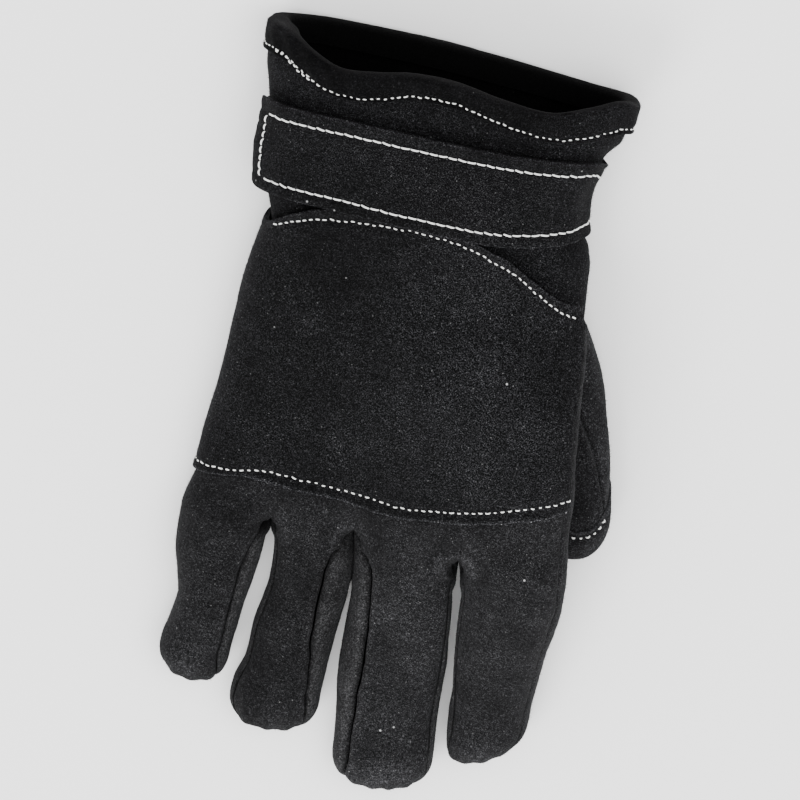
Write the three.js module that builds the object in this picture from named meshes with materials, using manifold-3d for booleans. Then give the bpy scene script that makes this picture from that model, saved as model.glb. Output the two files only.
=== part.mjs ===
// Rappelling glove, right hand, lying on its palm.
// Millimetres, +Z up (back of the hand), +Y towards the cuff opening, +X towards the thumb.
// Every leather panel is one surface of two parameters, taken twice: once at its outer face and
// once one leather thickness further in, with a wall round its edge.

import * as THREE from "three";
import Module from "manifold-3d";

const wasm = await Module();
wasm.setup();
const { Manifold, Mesh } = wasm;

// Leather and seams
const LEATHER = 1.8;          // wall of hand, fingers, thumb and cuff
const LAYER = 1.6;            // leather laid over the wall: back patch, hem, thumb patch
const STRAP = 1.8;            // wrist strap
const GAP = 0.3;              // space between one piece and the next
const SEAM_DEG = 1.0;         // half of that space at a finger seam, as an angle

// Main stations along the hand
const CROTCH = -42;           // between the fingers
const BLEND = 12;             // length over which the hand turns into four fingers
const CROTCH_R = 3;           // radius between two fingers, seen from above
const GUSSET_DEG = 35;        // gusset seams lie this far above and below a finger's side
const SWING = { from: 3, over: 18 };  // behind the crotch the upper ones swing to their own angle
const ULNAR_SEAM = 188;       // palm seam on the little-finger side
const RADIAL_SEAM = 32;       // palm seam on the thumb side
const GUSSET_ENDS = 62;       // angle over the fingertip where a gusset runs out
const SIDE_ENDS = 95;         // angle over the fingertip where a side seam has turned level
const LEAF = 0.4;             // space between back and palm at a fingertip
const PATCH_LAP = 8;          // what the back patch covers of the cuff and of the finger backs
const TUCK = 1.5;             // the cuff's lower edge dips this far under the patch
const RIM = 125;              // cuff edge on the centre line
const LEAN = { from: 60, to: 120, rise: 0.095 };  // the cuff's sections lean from here on
const HEM_OUT = 11.8;         // turned-over hem, outside
const HEM_FOLD = 7;           // and inside

// Hand and cuff sections. side = height of the widest line above the under face
const HAND = {
  columns: ["y", "left", "right", "under", "height"],
  rows: [
    [-60, -67.4, 63.0, 0.0, 25.0],
    [-42, -66.9, 63.0, 0.0, 25.0],
    [-26, -62.8, 62.0, 0.0, 27.0],
    [-7, -60.2, 61.2, 0.0, 28.5],
    [17, -56.8, 59.2, 0.0, 29.5],
    [33, -55.2, 58.6, 0.0, 30.5],
    [48, -53.4, 57.2, 0.4, 31.0],
    [62, -51.2, 55.2, 2.0, 31.5],
    [76, -53.4, 52.4, 2.3, 32.5],
    [90, -54.8, 52.2, 2.3, 34.0],
    [104, -57.0, 56.4, 2.3, 35.0],
    [113, -58.8, 60.4, 2.3, 36.0],
    [125, -58.2, 62.6, 2.3, 37.0],
    [140, -58.4, 64.0, 2.3, 37.0],
  ],
};

// Fingers: tip, length of the rounded end, middle of the tip, angle of the upper gusset seam on
// the right and left side, and rows of sections with the columns y, left, right and height
const FINGERS = [
  {
    name: "pinky", tip: -104.8, cap: 12, tipX: -55.6, seams: [56, 0],
    rows: [[-105, -68.4, -44.8, 19], [-92, -68.2, -44.6, 20], [-84, -66.4, -43.4, 21],
      [-75, -64.6, -42.1, 22], [-66, -65.7, -40.2, 23], [-56, -67.3, -38.7, 24],
      [-42, -66.9, -37.6, 25]],
  },
  {
    name: "ring", tip: -118.6, cap: 12, tipX: -28.2, seams: [62, 22],
    rows: [[-119, -43.0, -12.8, 19.5], [-103, -41.8, -12.8, 20.5], [-94, -38.9, -11.9, 21.5],
      [-81, -37.9, -10.4, 22.5], [-72, -36.0, -9.1, 23], [-65, -34.8, -8.2, 23.5],
      [-52, -34.6, -8.6, 24.5], [-42, -36.2, -9.6, 25]],
  },
  {
    name: "middle", tip: -134.2, cap: 12, tipX: 9.4, seams: [24, 58],
    rows: [[-135, -6.2, 27.2, 20], [-120, -6.0, 27.4, 21], [-107, -6.7, 27.0, 22],
      [-94, -7.8, 27.1, 23], [-80, -7.7, 27.5, 23.5], [-64, -7.1, 27.2, 24],
      [-52, -7.3, 26.2, 24.5], [-42, -8.8, 25.8, 25]],
  },
  {
    name: "index", tip: -120.8, cap: 15, tipX: 35.8, seams: [0, 26],
    rows: [[-122, 31.0, 54.0, 20], [-106, 30.8, 56.8, 21], [-96, 30.2, 57.4, 22],
      [-84, 29.3, 58.6, 23], [-72, 28.8, 59.8, 23.5], [-61, 28.2, 61.8, 24],
      [-51, 27.9, 63.0, 24.5], [-42, 27.2, 63.0, 25]],
  },
];
const CROTCH_X = [-36.9, -9.2, 26.5];

// Thumb, lying under the index-finger side
const THUMB = {
  tip: -40.8, cap: 15, tipX: 62.6,
  columns: ["y", "left", "right", "under", "height"],
  rows: [[-41, 46.0, 73.4, 2.3, 17.2], [-27, 46.0, 73.4, 2.3, 17.4], [-19, 45.2, 73.4, 2.3, 17.6],
    [-8, 43.6, 72.4, 2.3, 18], [8, 40.4, 69.0, 2.3, 18.2], [22, 37.2, 65.8, 2.4, 18.6],
    [36, 33.4, 59.6, 3.6, 19], [48, 29.0, 52.6, 6.6, 17], [60, 27.0, 45.0, 8.0, 15]],
};

// The index-finger side of the hand rises over the thumb
const LIFT = {
  from: -26, to: 58,            // across, from here up to the full height
  columns: ["y", "height"],
  rows: [[-140, 0], [-106, 0], [-90, 4.5], [-66, 15], [-42, 23.5], [-20, 25], [12, 25],
    [26, 19], [38, 10], [48, 3.6], [58, 0.6], [68, 0], [140, 0]],
};

// The rim waves this far towards the fingers or away, on the back and under the palm
const RIM_WAVE = {
  from: 106, to: 125,           // along the cuff, from none to all of it
  columns: ["x", "back", "palm"],
  rows: [[-64, 1.5, 0], [-52, 1, -0.8], [-43, -1.6, -0.8], [-34, -3.6, -0.4], [-22, -2.2, 0],
    [-10, -0.4, 0.2], [4, -0.2, 0], [20, -2, -0.6], [36, -2.6, -1.6], [50, -0.4, -2.2],
    [62, 1.5, -1], [70, 1.5, 0]],
};

// Back patch, edges seen from above: points x and y
const PATCH_TOP = [[-60, 64], [-53, 66.5], [-46, 69.5], [-36, 73.5], [-25, 75.5], [-11, 76],
  [3, 75], [15, 72.4], [24, 68.3], [30, 65.4], [37, 59.9], [45, 54.1], [52, 50.8], [62, 49.5]];
const PATCH_LOW = [[-66, -29.4], [-52, -28], [-40, -25.6], [-28, -26.2], [5, -27.8], [15, -26.1],
  [28, -22.9], [45, -17.5], [57, -14.6], [66, -12]];
const PATCH_ULNAR = 200;
const PATCH_RADIAL = 20;

// Wrist strap, edges seen from above: points x and y. It starts at its free end and runs round
// under the wrist
const STRAP_TOP = [[-62, 107], [-28, 107.4], [-1, 105.8], [27, 103.4], [41, 102.4], [62, 101]];
const STRAP_LOW = [[-62, 76], [-45, 75.5], [-28, 75.2], [-8, 73.4], [8, 72], [24, 70.9],
  [44, 71.8], [62, 73.6]];
const STRAP_FREE_END = 172;
const STRAP_SEWN_END = -148;
const STRAP_OFF = {           // how far it stands off the cuff at an angle round the wrist
  columns: ["deg", "off"],
  rows: [[-150, 0.3], [-50, 0.3], [-20, 0.9], [22, 0.9], [56, 2.3], [112, 2.3], [152, 3.6],
    [180, 3.6]],
};
const PAD_END = 138;
const PAD_MARGIN = 5;

// Thumb patch: how far it reaches back from the tip
const THUMB_PATCH_BACK = 8;
const THUMB_PATCH_PALM = 30;

const ROUND_STEP = 9;         // one column of cuff and layers, as an angle round the hand

// Small helpers
const rad = (deg) => (deg * Math.PI) / 180;
const mix = (a, b, t) => a + (b - a) * t;
const clamp01 = (t) => Math.min(1, Math.max(0, t));
const smooth = (t) => clamp01(t) ** 2 * (3 - 2 * clamp01(t));
const spow = (v, p) => Math.sign(v) * Math.abs(v) ** p;

// A straight ramp with rounded ends
function ramp(at) {
  const t = clamp01(at);
  if (t < 0.25) return (t * t) / 0.375;
  if (t > 0.75) return 1 - (1 - t) ** 2 / 0.375;
  return (t - 0.125) / 0.75;
}

// Smooth curve through the rows of a table sorted by its first column
function curve(rows, at, column) {
  const n = rows.length;
  if (at <= rows[0][0]) return rows[0][column];
  if (at >= rows[n - 1][0]) return rows[n - 1][column];
  let i = 0;
  while (rows[i + 1][0] < at) i += 1;
  const slope = (k) => {
    const a = rows[Math.max(0, k - 1)];
    const b = rows[Math.min(n - 1, k + 1)];
    return (b[column] - a[column]) / (b[0] - a[0]);
  };
  const h = rows[i + 1][0] - rows[i][0];
  const t = (at - rows[i][0]) / h;
  const p = rows[i][column];
  const q = rows[i + 1][column];
  const a = p * (1 + 2 * t) * (1 - t) ** 2 + q * t * t * (3 - 2 * t);
  return a + h * (slope(i) * t * (1 - t) ** 2 - slope(i + 1) * t * t * (1 - t));
}

// How far the hand is raised at a point
function lift(x, y) {
  return Math.max(0, curve(LIFT.rows, y, 1)) * ramp((x - LIFT.from) / (LIFT.to - LIFT.from));
}

// One point of a closed section: a rounded arch over a flattened under face
function section(s, deg, inset) {
  const c = Math.cos(rad(deg));
  const w = Math.sin(rad(deg));
  const power = 2 / (w >= 0 ? s.top : s.low);
  const x = s.x + (s.half - inset) * spow(c, power);
  const up = Math.abs(w) ** power;
  if (w >= 0) return [x, s.side + (s.above - inset) * up];
  return [x, Math.max(s.side - (s.below - inset) * up, s.under + inset)];
}

// Slant of the cuff sections: the thumb side of the rim lies nearer to the fingers
function slant(station, x) {
  return station - smooth((station - LEAN.from) / (LEAN.to - LEAN.from)) * LEAN.rise * x;
}

// Section of hand or cuff at a station
function handSection(y) {
  const under = Math.max(0, curve(HAND.rows, y, 3));
  const height = curve(HAND.rows, y, 4);
  const left = curve(HAND.rows, y, 1);
  const right = curve(HAND.rows, y, 2);
  return {
    x: (left + right) / 2, half: (right - left) / 2, side: under + 0.42 * height,
    above: 0.58 * height, below: 0.42 * height + 3, under, top: 2.3, low: 2.8,
  };
}

function hand(y, deg, inset) {
  const [x, z] = section(handSection(y), deg, inset);
  const up = 2 * Math.sin(rad(deg));
  const near = smooth((y - RIM_WAVE.from) / (RIM_WAVE.to - RIM_WAVE.from));
  const wave = smooth(up) * curve(RIM_WAVE.rows, x, 1) + smooth(-up) * curve(RIM_WAVE.rows, x, 2);
  const at = slant(y, x) + near * wave;
  return [x, at, z + lift(x, at)];
}

// Section of a finger; scale shrinks it towards the tip
function fingerSection(finger, y, scale, toTip) {
  const left = curve(finger.rows, y, 1);
  const right = curve(finger.rows, y, 2);
  const height = curve(finger.rows, y, 3);
  return {
    x: mix((left + right) / 2, finger.tipX, toTip), half: ((right - left) / 2) * scale,
    side: 0.42 * height, above: 0.58 * height * scale, below: (0.42 * height + 2) * scale,
    under: 0, top: 2.3, low: 2.8,
  };
}

// A row along a finger: turn = angle over the rounded tip, or y further back
function rowOf(spec, row, inset) {
  const start = spec.tip + spec.cap;
  if (row.turn === undefined) {
    const near = clamp01(1 - Math.abs(row.y - CROTCH) / 8);
    return { y: row.y + inset * near, scale: 1, toTip: 0, inset };
  }
  const c = Math.max(0, Math.cos(rad(row.turn)));
  const y = start - (spec.cap - inset) * Math.sin(rad(row.turn));
  const scale = c ** 0.8;
  return { y, scale, toTip: 1 - c, inset: inset * scale };
}

// Seam angle of a finger's side in a row: gussets run out before the tip
function seamAngle(full, row, runsOut) {
  if (row.turn === undefined) return full;
  return full * (1 - clamp01(row.turn / runsOut) ** 2);
}

// A point of finger number i. Its sides close up to the crotch line between two fingers
function fingerPoint(i, row, deg, inset, off) {
  const finger = FINGERS[i];
  const r = rowOf(finger, row, inset);
  const s = fingerSection(finger, Math.min(r.y, CROTCH), r.scale, r.toTip);
  let [x, z] = section(s, deg, r.inset);
  const goesRight = Math.cos(rad(deg)) > 0;
  const shared = goesRight ? i < 3 : i > 0;
  const depth = CROTCH + inset - r.y;
  const radius = CROTCH_R + inset;
  if (shared && depth < radius) {
    const open = depth <= 0 ? 0 : Math.sqrt(1 - (1 - depth / radius) ** 2);
    const edge = goesRight ? CROTCH_X[i] : CROTCH_X[i - 1];
    const above = Math.sin(rad(deg)) >= 0;
    const turned = (GUSSET_DEG + SEAM_DEG) * (above ? 1 : -1);
    const seam = section(s, turned, r.inset)[0] - s.x;
    const across = Math.min(1, Math.abs(x - s.x) / seam);
    const reach = across < 1 ? s.x + (goesRight ? seam : -seam) : x;
    x += across ** 3 * (edge - reach) * (1 - open);
  }
  z += off * (1 - r.scale);
  return [x, r.y, z + lift(x, r.y)];
}

// A point of the hand in the column of a finger; the hand turns into fingers over BLEND
function lanePoint(i, y, deg, inset) {
  const root = fingerPoint(i, { y: CROTCH }, deg, 0, 0);
  const s = handSection(CROTCH);
  const rel = Math.min(1, Math.abs(root[0] - s.x) / s.half);
  const above = Math.sin(rad(deg)) >= 0;
  const side = Math.sign(root[0] - s.x);
  const angle = (Math.acos(rel ** ((above ? s.top : s.low) / 2)) * 180) / Math.PI;
  const around = side > 0 ? angle : 180 - angle;
  const [hx, , hz] = handFlat(y, above ? around : -around, inset);
  const near = smooth(1 - (y - CROTCH) / BLEND);
  const at = y + inset * clamp01(1 - (y - CROTCH) / 8);
  const [fx, fz] = fingerRoot(i, deg, inset);
  const hs = handSection(y);
  const scaled = hs.x + ((fx - s.x) / s.half) * hs.half;
  const x = mix(hx, scaled, near);
  return [x, slant(at, x), mix(hz, fz, near) + lift(x, at)];
}

function handFlat(y, deg, inset) {
  const [x, z] = section(handSection(y), deg, inset);
  return [x, y, z];
}

function fingerRoot(i, deg, inset) {
  const p = fingerPoint(i, { y: CROTCH }, deg, inset, 0);
  return [p[0], p[2] - lift(p[0], p[1])];
}

// A solid from one or more grids of pairs of points, outer and inner, that share edges
function solid(grids) {
  const points = [];
  const index = new Map();
  const key = (p) => p.map((v) => Math.round(v * 2000)).join(",");
  const add = (p, face) => {
    const k = face + key(p);
    if (!index.has(k)) {
      index.set(k, points.length);
      points.push(p);
    }
    return index.get(k);
  };
  const faces = [];
  const edges = new Map();
  const put = (a, b, c) => {
    if (a !== b && b !== c && c !== a) faces.push([a, b, c]);
  };
  const edge = (a, b) => {
    const back = `${b.o},${a.o}`;
    if (a.o === b.o) return;
    if (edges.has(back)) edges.delete(back);
    else edges.set(`${a.o},${b.o}`, [a, b]);
  };
  for (const grid of grids) {
    const both = (p) => ({ o: add(p.outer, "o"), i: add(p.inner, "i") });
    const ids = grid.map((line) => line.map(both));
    for (let r = 0; r + 1 < ids.length; r += 1) {
      for (let c = 0; c + 1 < ids[r].length; c += 1) {
        const q = [ids[r][c], ids[r][c + 1], ids[r + 1][c + 1], ids[r + 1][c]];
        put(q[0].o, q[1].o, q[2].o);
        put(q[0].o, q[2].o, q[3].o);
        put(q[0].i, q[2].i, q[1].i);
        put(q[0].i, q[3].i, q[2].i);
        q.forEach((a, n) => edge(a, q[(n + 1) % 4]));
      }
    }
  }
  for (const [a, b] of edges.values()) {
    put(a.o, b.i, b.o);
    put(a.o, a.i, b.i);
  }
  return orient(points, faces);
}

// Faces turned outward, by the sign of the volume
function orient(points, faces) {
  let volume = 0;
  for (const [a, b, c] of faces) {
    const [p, q, r] = [points[a], points[b], points[c]];
    volume += p[0] * (q[1] * r[2] - q[2] * r[1]) - p[1] * (q[0] * r[2] - q[2] * r[0])
      + p[2] * (q[0] * r[1] - q[1] * r[0]);
  }
  if (volume < 0) faces.forEach((f) => f.reverse());
  return { points, faces };
}

// Rows of a finger from its tip to the crotch
function fingerRows(finger, straight) {
  const rows = [90, 74, 56, 38, 19, 0].map((turn) => ({ turn }));
  const start = finger.tip + finger.cap;
  const end = CROTCH - CROTCH_R * 1.6;
  for (let k = 1; k <= straight; k += 1) rows.push({ y: mix(start, end, k / straight) });
  [0.75, 0.3, 0.06].forEach((d) => rows.push({ y: CROTCH - CROTCH_R * d }));
  return rows;
}

// Angles across one finger of a panel, from the thumb side to the little-finger side
const gussetSeam = (row) => seamAngle(GUSSET_DEG, row, GUSSET_ENDS);
const radialSeam = (row) => seamAngle(RADIAL_SEAM, row, SIDE_ENDS);
const ulnarSeam = (row) => seamAngle(180 - ULNAR_SEAM, row, SIDE_ENDS);

// Upper gusset seam: one angle round the crotch, then its own angle along the finger
function upperSeam(i, row, side) {
  const away = row.turn === undefined ? smooth((CROTCH - SWING.from - row.y) / SWING.over) : 1;
  return seamAngle(mix(GUSSET_DEG, FINGERS[i].seams[side], away), row, GUSSET_ENDS);
}

function backAngle(i, row, t) {
  const right = i < 3 ? upperSeam(i, row, 0) : radialSeam(row);
  const left = i > 0 ? upperSeam(i, row, 1) : ulnarSeam(row);
  const gap = seamGap(row);
  return mix(right + gap, 180 - left - gap, t);
}

function palmAngle(i, row, t) {
  const right = i < 3 ? -gussetSeam(row) : radialSeam(row);
  const left = i > 0 ? -gussetSeam(row) : ulnarSeam(row);
  const gap = seamGap(row);
  return mix(right - gap, -180 - left + gap, t);
}

function seamGap(row) {
  if (row.turn === undefined) return SEAM_DEG;
  return Math.min(10, SEAM_DEG / Math.max(0.1, Math.cos(rad(row.turn))));
}

// One finger of the comb-shaped panels
function fingerGrid(i, angle, off, columns, straight) {
  const rows = fingerRows(FINGERS[i], straight);
  const pair = (row, t) => {
    const deg = angle(i, row, t);
    return {
      outer: fingerPoint(i, row, deg, 0, off),
      inner: fingerPoint(i, row, deg, LEATHER, off),
    };
  };
  const grid = rows.map((row) => columns.map((t) => pair(row, t)));
  grid.push(columns.map((t) => lanePair(i, CROTCH, angle(i, { y: CROTCH }, t))));
  return grid;
}

function lanePair(i, y, deg) {
  return { outer: lanePoint(i, y, deg, 0), inner: lanePoint(i, y, deg, LEATHER) };
}

// The part of a comb-shaped panel between the crotch and the panel's end
function laneGrid(i, angle, columns, shares, endAt) {
  return shares.map((share) => columns.map((t) => {
    const deg = angle(i, { y: CROTCH }, t);
    const x = lanePoint(i, 30, deg, 0)[0];
    return lanePair(i, mix(CROTCH, endAt(x), share), deg);
  }));
}

const spread = (n) => Array.from({ length: n + 1 }, (_, k) => k / n);
const patchTop = (x) => curve(PATCH_TOP, x, 1);
const patchLow = (x) => curve(PATCH_LOW, x, 1);
const cuffEnd = (x) => mix(58, 42, clamp01((x + 54) / 111));

// Finger backs with the knuckle strip
function fingerBack() {
  const grids = [];
  FINGERS.forEach((finger, i) => {
    const columns = spread(i === 0 ? 7 : 6);
    grids.push(fingerGrid(i, backAngle, LEAF, columns, 4));
    grids.push(laneGrid(i, backAngle, columns, [0, 0.2, 0.45, 0.72, 1],
      (x) => patchLow(x) + PATCH_LAP));
  });
  return solid(grids);
}

// Palm with the finger fronts, up to the cuff
function palm() {
  const grids = [];
  FINGERS.forEach((finger, i) => {
    const columns = i === 0 ? [0, 0.2, 0.4, 0.56, 0.7, 0.82, 0.92, 1] : spread([7, 5, 5, 9][i]);
    grids.push(fingerGrid(i, palmAngle, 0, columns, 4));
    grids.push(laneGrid(i, palmAngle, columns, [0, 0.07, 0.14, 0.21, 0.33, 0.48, 0.62, 0.75, 0.88, 1],
      (x) => cuffEnd(x) - 2 * GAP));
  });
  return solid(grids);
}

// Gusset: down one finger's side, round the crotch and down the next finger's side
function gusset(i) {
  const across = spread(3);
  const side = (n, right) => fingerRows(FINGERS[n], 4).filter((row) => !(row.turn > 56))
    .map((row) => {
      const low = Math.max(2, gussetSeam(row) - SEAM_DEG);
      const top = Math.max(2, upperSeam(n, row, right ? 0 : 1) - 2 * SEAM_DEG);
      return across.map((t) => {
        const deg = right ? mix(-low, top, t) : mix(180 + low, 180 - top, t);
        return { outer: fingerPoint(n, row, deg, 0, 0), inner: fingerPoint(n, row, deg, LEATHER, 0) };
      });
    });
  const down = side(i, true);
  const half = GUSSET_DEG - SEAM_DEG;
  const apex = across.map((t) => ({
    outer: fingerPoint(i, { y: CROTCH }, mix(-half, half, t), 0, 0),
    inner: fingerPoint(i, { y: CROTCH }, mix(-half, half, t), LEATHER, 0),
  }));
  return solid([[...down, apex, ...side(i + 1, false).reverse()]]);
}

// Angles of a layer: the shared steps round the hand that lie between its two ends
function anglesOf(from, to) {
  const first = Math.floor(from / ROUND_STEP + 0.3) + 1;
  const last = Math.ceil(to / ROUND_STEP - 0.3) - 1;
  const list = [from];
  for (let k = first; k <= last; k += 1) list.push(k * ROUND_STEP);
  return list.concat([to]);
}

// A layer over hand or cuff between two angles, through a list of stations in each column
function layer(from, to, stations, faceIn, faceOut) {
  const lines = anglesOf(from, to).map((deg) => stations(hand(30, deg, 0)[0], deg).map((y) => ({
    outer: hand(y, deg, -faceOut(deg, y)),
    inner: hand(y, deg, -faceIn(deg, y)),
  })));
  return lines[0].map((_, row) => lines.map((line) => line[row]));
}

const between = (low, top, n) => spread(n).map((t) => mix(low, top, t));

// Station that lies under a point y, with the slant of the cuff taken off
function station(x, y) {
  let s = y;
  for (let k = 0; k < 8; k += 1) s += y - slant(s, x);
  return s;
}

// Back patch, laid over the cuff above, the finger backs below and the palm's two edges
function backPatch() {
  const stations = (x) => between(patchLow(x), station(x, patchTop(x)), 12);
  return solid([layer(PATCH_RADIAL, PATCH_ULNAR, stations, () => GAP, () => GAP + LAYER)]);
}

// Cuff: a tube from the wrist seam to the rim
function cuff() {
  const low = (x, deg) => {
    const over = Math.sin(rad(deg)) > 0;
    const back = patchTop(x) - PATCH_LAP;
    return station(x, over ? mix(cuffEnd(x), back, smooth(Math.sin(rad(deg)) * 4)) : cuffEnd(x));
  };
  const stations = (x, deg) => between(low(x, deg), RIM - HEM_OUT, 5)
    .concat([RIM - HEM_FOLD, RIM]);
  const tuck = (deg, y) => TUCK * clamp01(1 - (y - low(hand(30, deg, 0)[0], deg)) / 18);
  return solid([layer(0, 360, stations, (deg, y) => -LEATHER - tuck(deg, y),
    (deg, y) => -tuck(deg, y))]);
}

// Hem: the leather turned over the rim, a closed profile carried round the cuff
function hem() {
  const o = GAP + LAYER;
  const w = LEATHER + GAP;
  const profile = [
    [-HEM_FOLD, GAP], [-HEM_OUT, GAP], [-HEM_OUT, o], [-HEM_FOLD, o], [-1, o], [1, o - 0.6], [o, -0.9],
    [1, -LEATHER - o + 0.6], [-1, -LEATHER - o], [-HEM_FOLD, -LEATHER - o], [-HEM_FOLD, -w],
    [GAP * 0.2, -w], [GAP, -w + 0.4], [GAP, -0.1], [GAP * 0.2, GAP],
  ];
  const points = [];
  const faces = [];
  const n = 360 / ROUND_STEP;
  for (let k = 0; k < n; k += 1) {
    for (const [along, out] of profile) points.push(hand(RIM + along, ROUND_STEP * k, -out));
  }
  const m = profile.length;
  for (let k = 0; k < n; k += 1) {
    for (let j = 0; j < m; j += 1) {
      const a = k * m + j;
      const b = k * m + ((j + 1) % m);
      const c = ((k + 1) % n) * m + ((j + 1) % m);
      const d = ((k + 1) % n) * m + j;
      faces.push([a, b, c], [a, c, d]);
    }
  }
  return orient(points, faces);
}

// How far the strap stands off the cuff: flat at the thumb side, over the patch's edge on the
// back, and over the pad at its free end
const strapOff = (deg) => Math.max(GAP, curve(STRAP_OFF.rows, deg, 1));

// Strap: free end on the little-finger side, over the back of the wrist and round below
function strap() {
  const stations = (x) => between(station(x, curve(STRAP_LOW, x, 1)),
    station(x, curve(STRAP_TOP, x, 1)), 4);
  return solid([layer(STRAP_SEWN_END, STRAP_FREE_END, stations, strapOff,
    (deg) => strapOff(deg) + STRAP)]);
}

// Closure pad between the strap's free end and the cuff
function pad() {
  const stations = (x) => between(station(x, curve(STRAP_LOW, x, 1) + PAD_MARGIN),
    station(x, curve(STRAP_TOP, x, 1) - PAD_MARGIN), 3);
  return solid([layer(PAD_END, STRAP_FREE_END - 4, stations, () => GAP,
    (deg) => strapOff(deg) - GAP)]);
}

// Thumb sections
function thumbPoint(row, deg, inset) {
  const r = rowOf(THUMB, row, inset);
  const left = curve(THUMB.rows, r.y, 1);
  const right = curve(THUMB.rows, r.y, 2);
  const under = curve(THUMB.rows, r.y, 3);
  const height = curve(THUMB.rows, r.y, 4);
  const y = row.turn === undefined ? row.y : r.y;
  const [x, z] = section({
    x: mix((left + right) / 2, THUMB.tipX, r.toTip), half: ((right - left) / 2) * r.scale,
    side: under + height / 2, above: (height / 2) * r.scale, below: (height / 2 + 0.6) * r.scale,
    under, top: 2.4, low: 2.6,
  }, deg, inset * r.scale);
  return [x, y, z];
}

const THUMB_START = THUMB.tip + THUMB.cap;
const THUMB_COLUMNS = 20;
const thumbRows = [90, 74, 56, 38, 19, 0].map((turn) => ({ turn }))
  .concat(spread(8).slice(1).map((t) => ({ y: mix(THUMB_START, 58, t) })));

// A closed body from rings of points; a ring of one point closes an end
function closedBody(rings) {
  const points = [];
  const faces = [];
  const n = Math.max(...rings.map((ring) => ring.length));
  const ids = rings.map((ring) => ring.map((p) => points.push(p) - 1));
  const at = (r, k) => (ids[r].length === 1 ? ids[r][0] : ids[r][k % n]);
  for (let r = 0; r + 1 < rings.length; r += 1) {
    for (let k = 0; k < n; k += 1) {
      const q = [at(r, k), at(r, k + 1), at(r + 1, k + 1), at(r + 1, k)];
      if (q[0] !== q[1]) faces.push([q[0], q[1], q[2]]);
      if (q[2] !== q[3]) faces.push([q[0], q[2], q[3]]);
    }
  }
  return orient(points, faces);
}

function centre(ring) {
  return [0, 1, 2].map((axis) => ring.reduce((sum, p) => sum + p[axis], 0) / ring.length);
}

function thumbBody(inset, columns) {
  const rings = thumbRows.map((row) => (row.turn === 90
    ? [thumbPoint(row, 0, inset)]
    : spread(columns).slice(0, -1).map((t) => thumbPoint(row, 360 * t, inset))));
  rings.push([centre(rings[rings.length - 1])]);
  return closedBody(rings);
}

function handBody(inset, columns) {
  const rings = spread(12).map((t) => spread(columns).slice(0, -1)
    .map((k) => hand(mix(-20, 80, t), 360 * k, inset)));
  return closedBody([[centre(rings[0])], ...rings, [centre(rings[rings.length - 1])]]);
}

// Joins and cuts on closed meshes
function toManifold(body) {
  const mesh = new Mesh({
    numProp: 3,
    vertProperties: new Float32Array(body.points.flat()),
    triVerts: new Uint32Array(body.faces.flat()),
  });
  mesh.merge();
  return new Manifold(mesh);
}

function fromManifold(manifold) {
  const mesh = manifold.getMesh();
  const points = [];
  for (let k = 0; k < mesh.vertProperties.length; k += mesh.numProp) {
    points.push([...mesh.vertProperties.subarray(k, k + 3)]);
  }
  const faces = [];
  for (let k = 0; k < mesh.triVerts.length; k += 3) {
    faces.push([...mesh.triVerts.subarray(k, k + 3)]);
  }
  return { points, faces };
}

// The largest body of a cut, without loose slivers
function largest(manifold) {
  return manifold.decompose().sort((a, b) => b.volume() - a.volume())[0];
}

const thumbHollow = toManifold(thumbBody(LEATHER, THUMB_COLUMNS));
const thumbWall = toManifold(thumbBody(0, THUMB_COLUMNS)).subtract(thumbHollow)
  .subtract(toManifold(handBody(-GAP, 40)));
const palmCut = toManifold(palm()).subtract(thumbHollow);

// Thumb patch: a cap over the end of the thumb, short on the back and long on the palm side
function thumbPatch() {
  const reachOf = (row) => (row.turn === undefined ? row.y - THUMB.tip
    : THUMB.cap * (1 - Math.sin(rad(row.turn))));
  const rowAt = (reach) => (reach >= THUMB.cap ? { y: THUMB.tip + reach }
    : { turn: (Math.asin(1 - reach / THUMB.cap) * 180) / Math.PI });
  const grid = thumbRows.slice(0, 9).map((line) => spread(THUMB_COLUMNS).map((t) => {
    const under = smooth(0.5 - 1.2 * Math.sin(rad(360 * t)));
    const edge = mix(THUMB_PATCH_BACK, THUMB_PATCH_PALM, under);
    const row = rowAt(Math.min(edge, reachOf(line)));
    return {
      outer: thumbPoint(row, 360 * t, -1.4 * GAP - LAYER),
      inner: thumbPoint(row, 360 * t, -1.4 * GAP),
    };
  }));
  return solid([grid]);
}

const SUEDE = { color: 0x1b1b1d, roughness: 0.92, metalness: 0 };
const WEBBING = { color: 0x141416, roughness: 0.85, metalness: 0 };

function piece(name, body, look) {
  const geometry = new THREE.BufferGeometry();
  geometry.setAttribute("position", new THREE.Float32BufferAttribute(body.points.flat(), 3));
  geometry.setIndex(body.faces.flat());
  const flat = geometry.toNonIndexed();
  flat.computeVertexNormals();
  const mesh = new THREE.Mesh(flat, new THREE.MeshStandardMaterial(look));
  mesh.name = name;
  return mesh;
}

const glove = new THREE.Group();
glove.name = "rappelling_glove";
glove.add(piece("cuff", cuff(), SUEDE));
glove.add(piece("cuff_hem", hem(), SUEDE));
glove.add(piece("wrist_strap", strap(), SUEDE));
glove.add(piece("strap_hook_pad", pad(), WEBBING));
glove.add(piece("back_patch", backPatch(), SUEDE));
glove.add(piece("finger_back", fingerBack(), SUEDE));
glove.add(piece("palm_panel", fromManifold(largest(palmCut)), SUEDE));
glove.add(piece("gusset_pinky_ring", gusset(0), SUEDE));
glove.add(piece("gusset_ring_middle", gusset(1), SUEDE));
glove.add(piece("gusset_middle_index", gusset(2), SUEDE));
glove.add(piece("thumb", fromManifold(largest(thumbWall)), SUEDE));
glove.add(piece("thumb_patch", thumbPatch(), SUEDE));

// Stand the glove on the floor with its outline centred over the origin
const box = new THREE.Box3().setFromObject(glove);
const middle = box.getCenter(new THREE.Vector3());
glove.children.forEach((mesh) => mesh.geometry.translate(-middle.x, -middle.y, -box.min.z));

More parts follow.
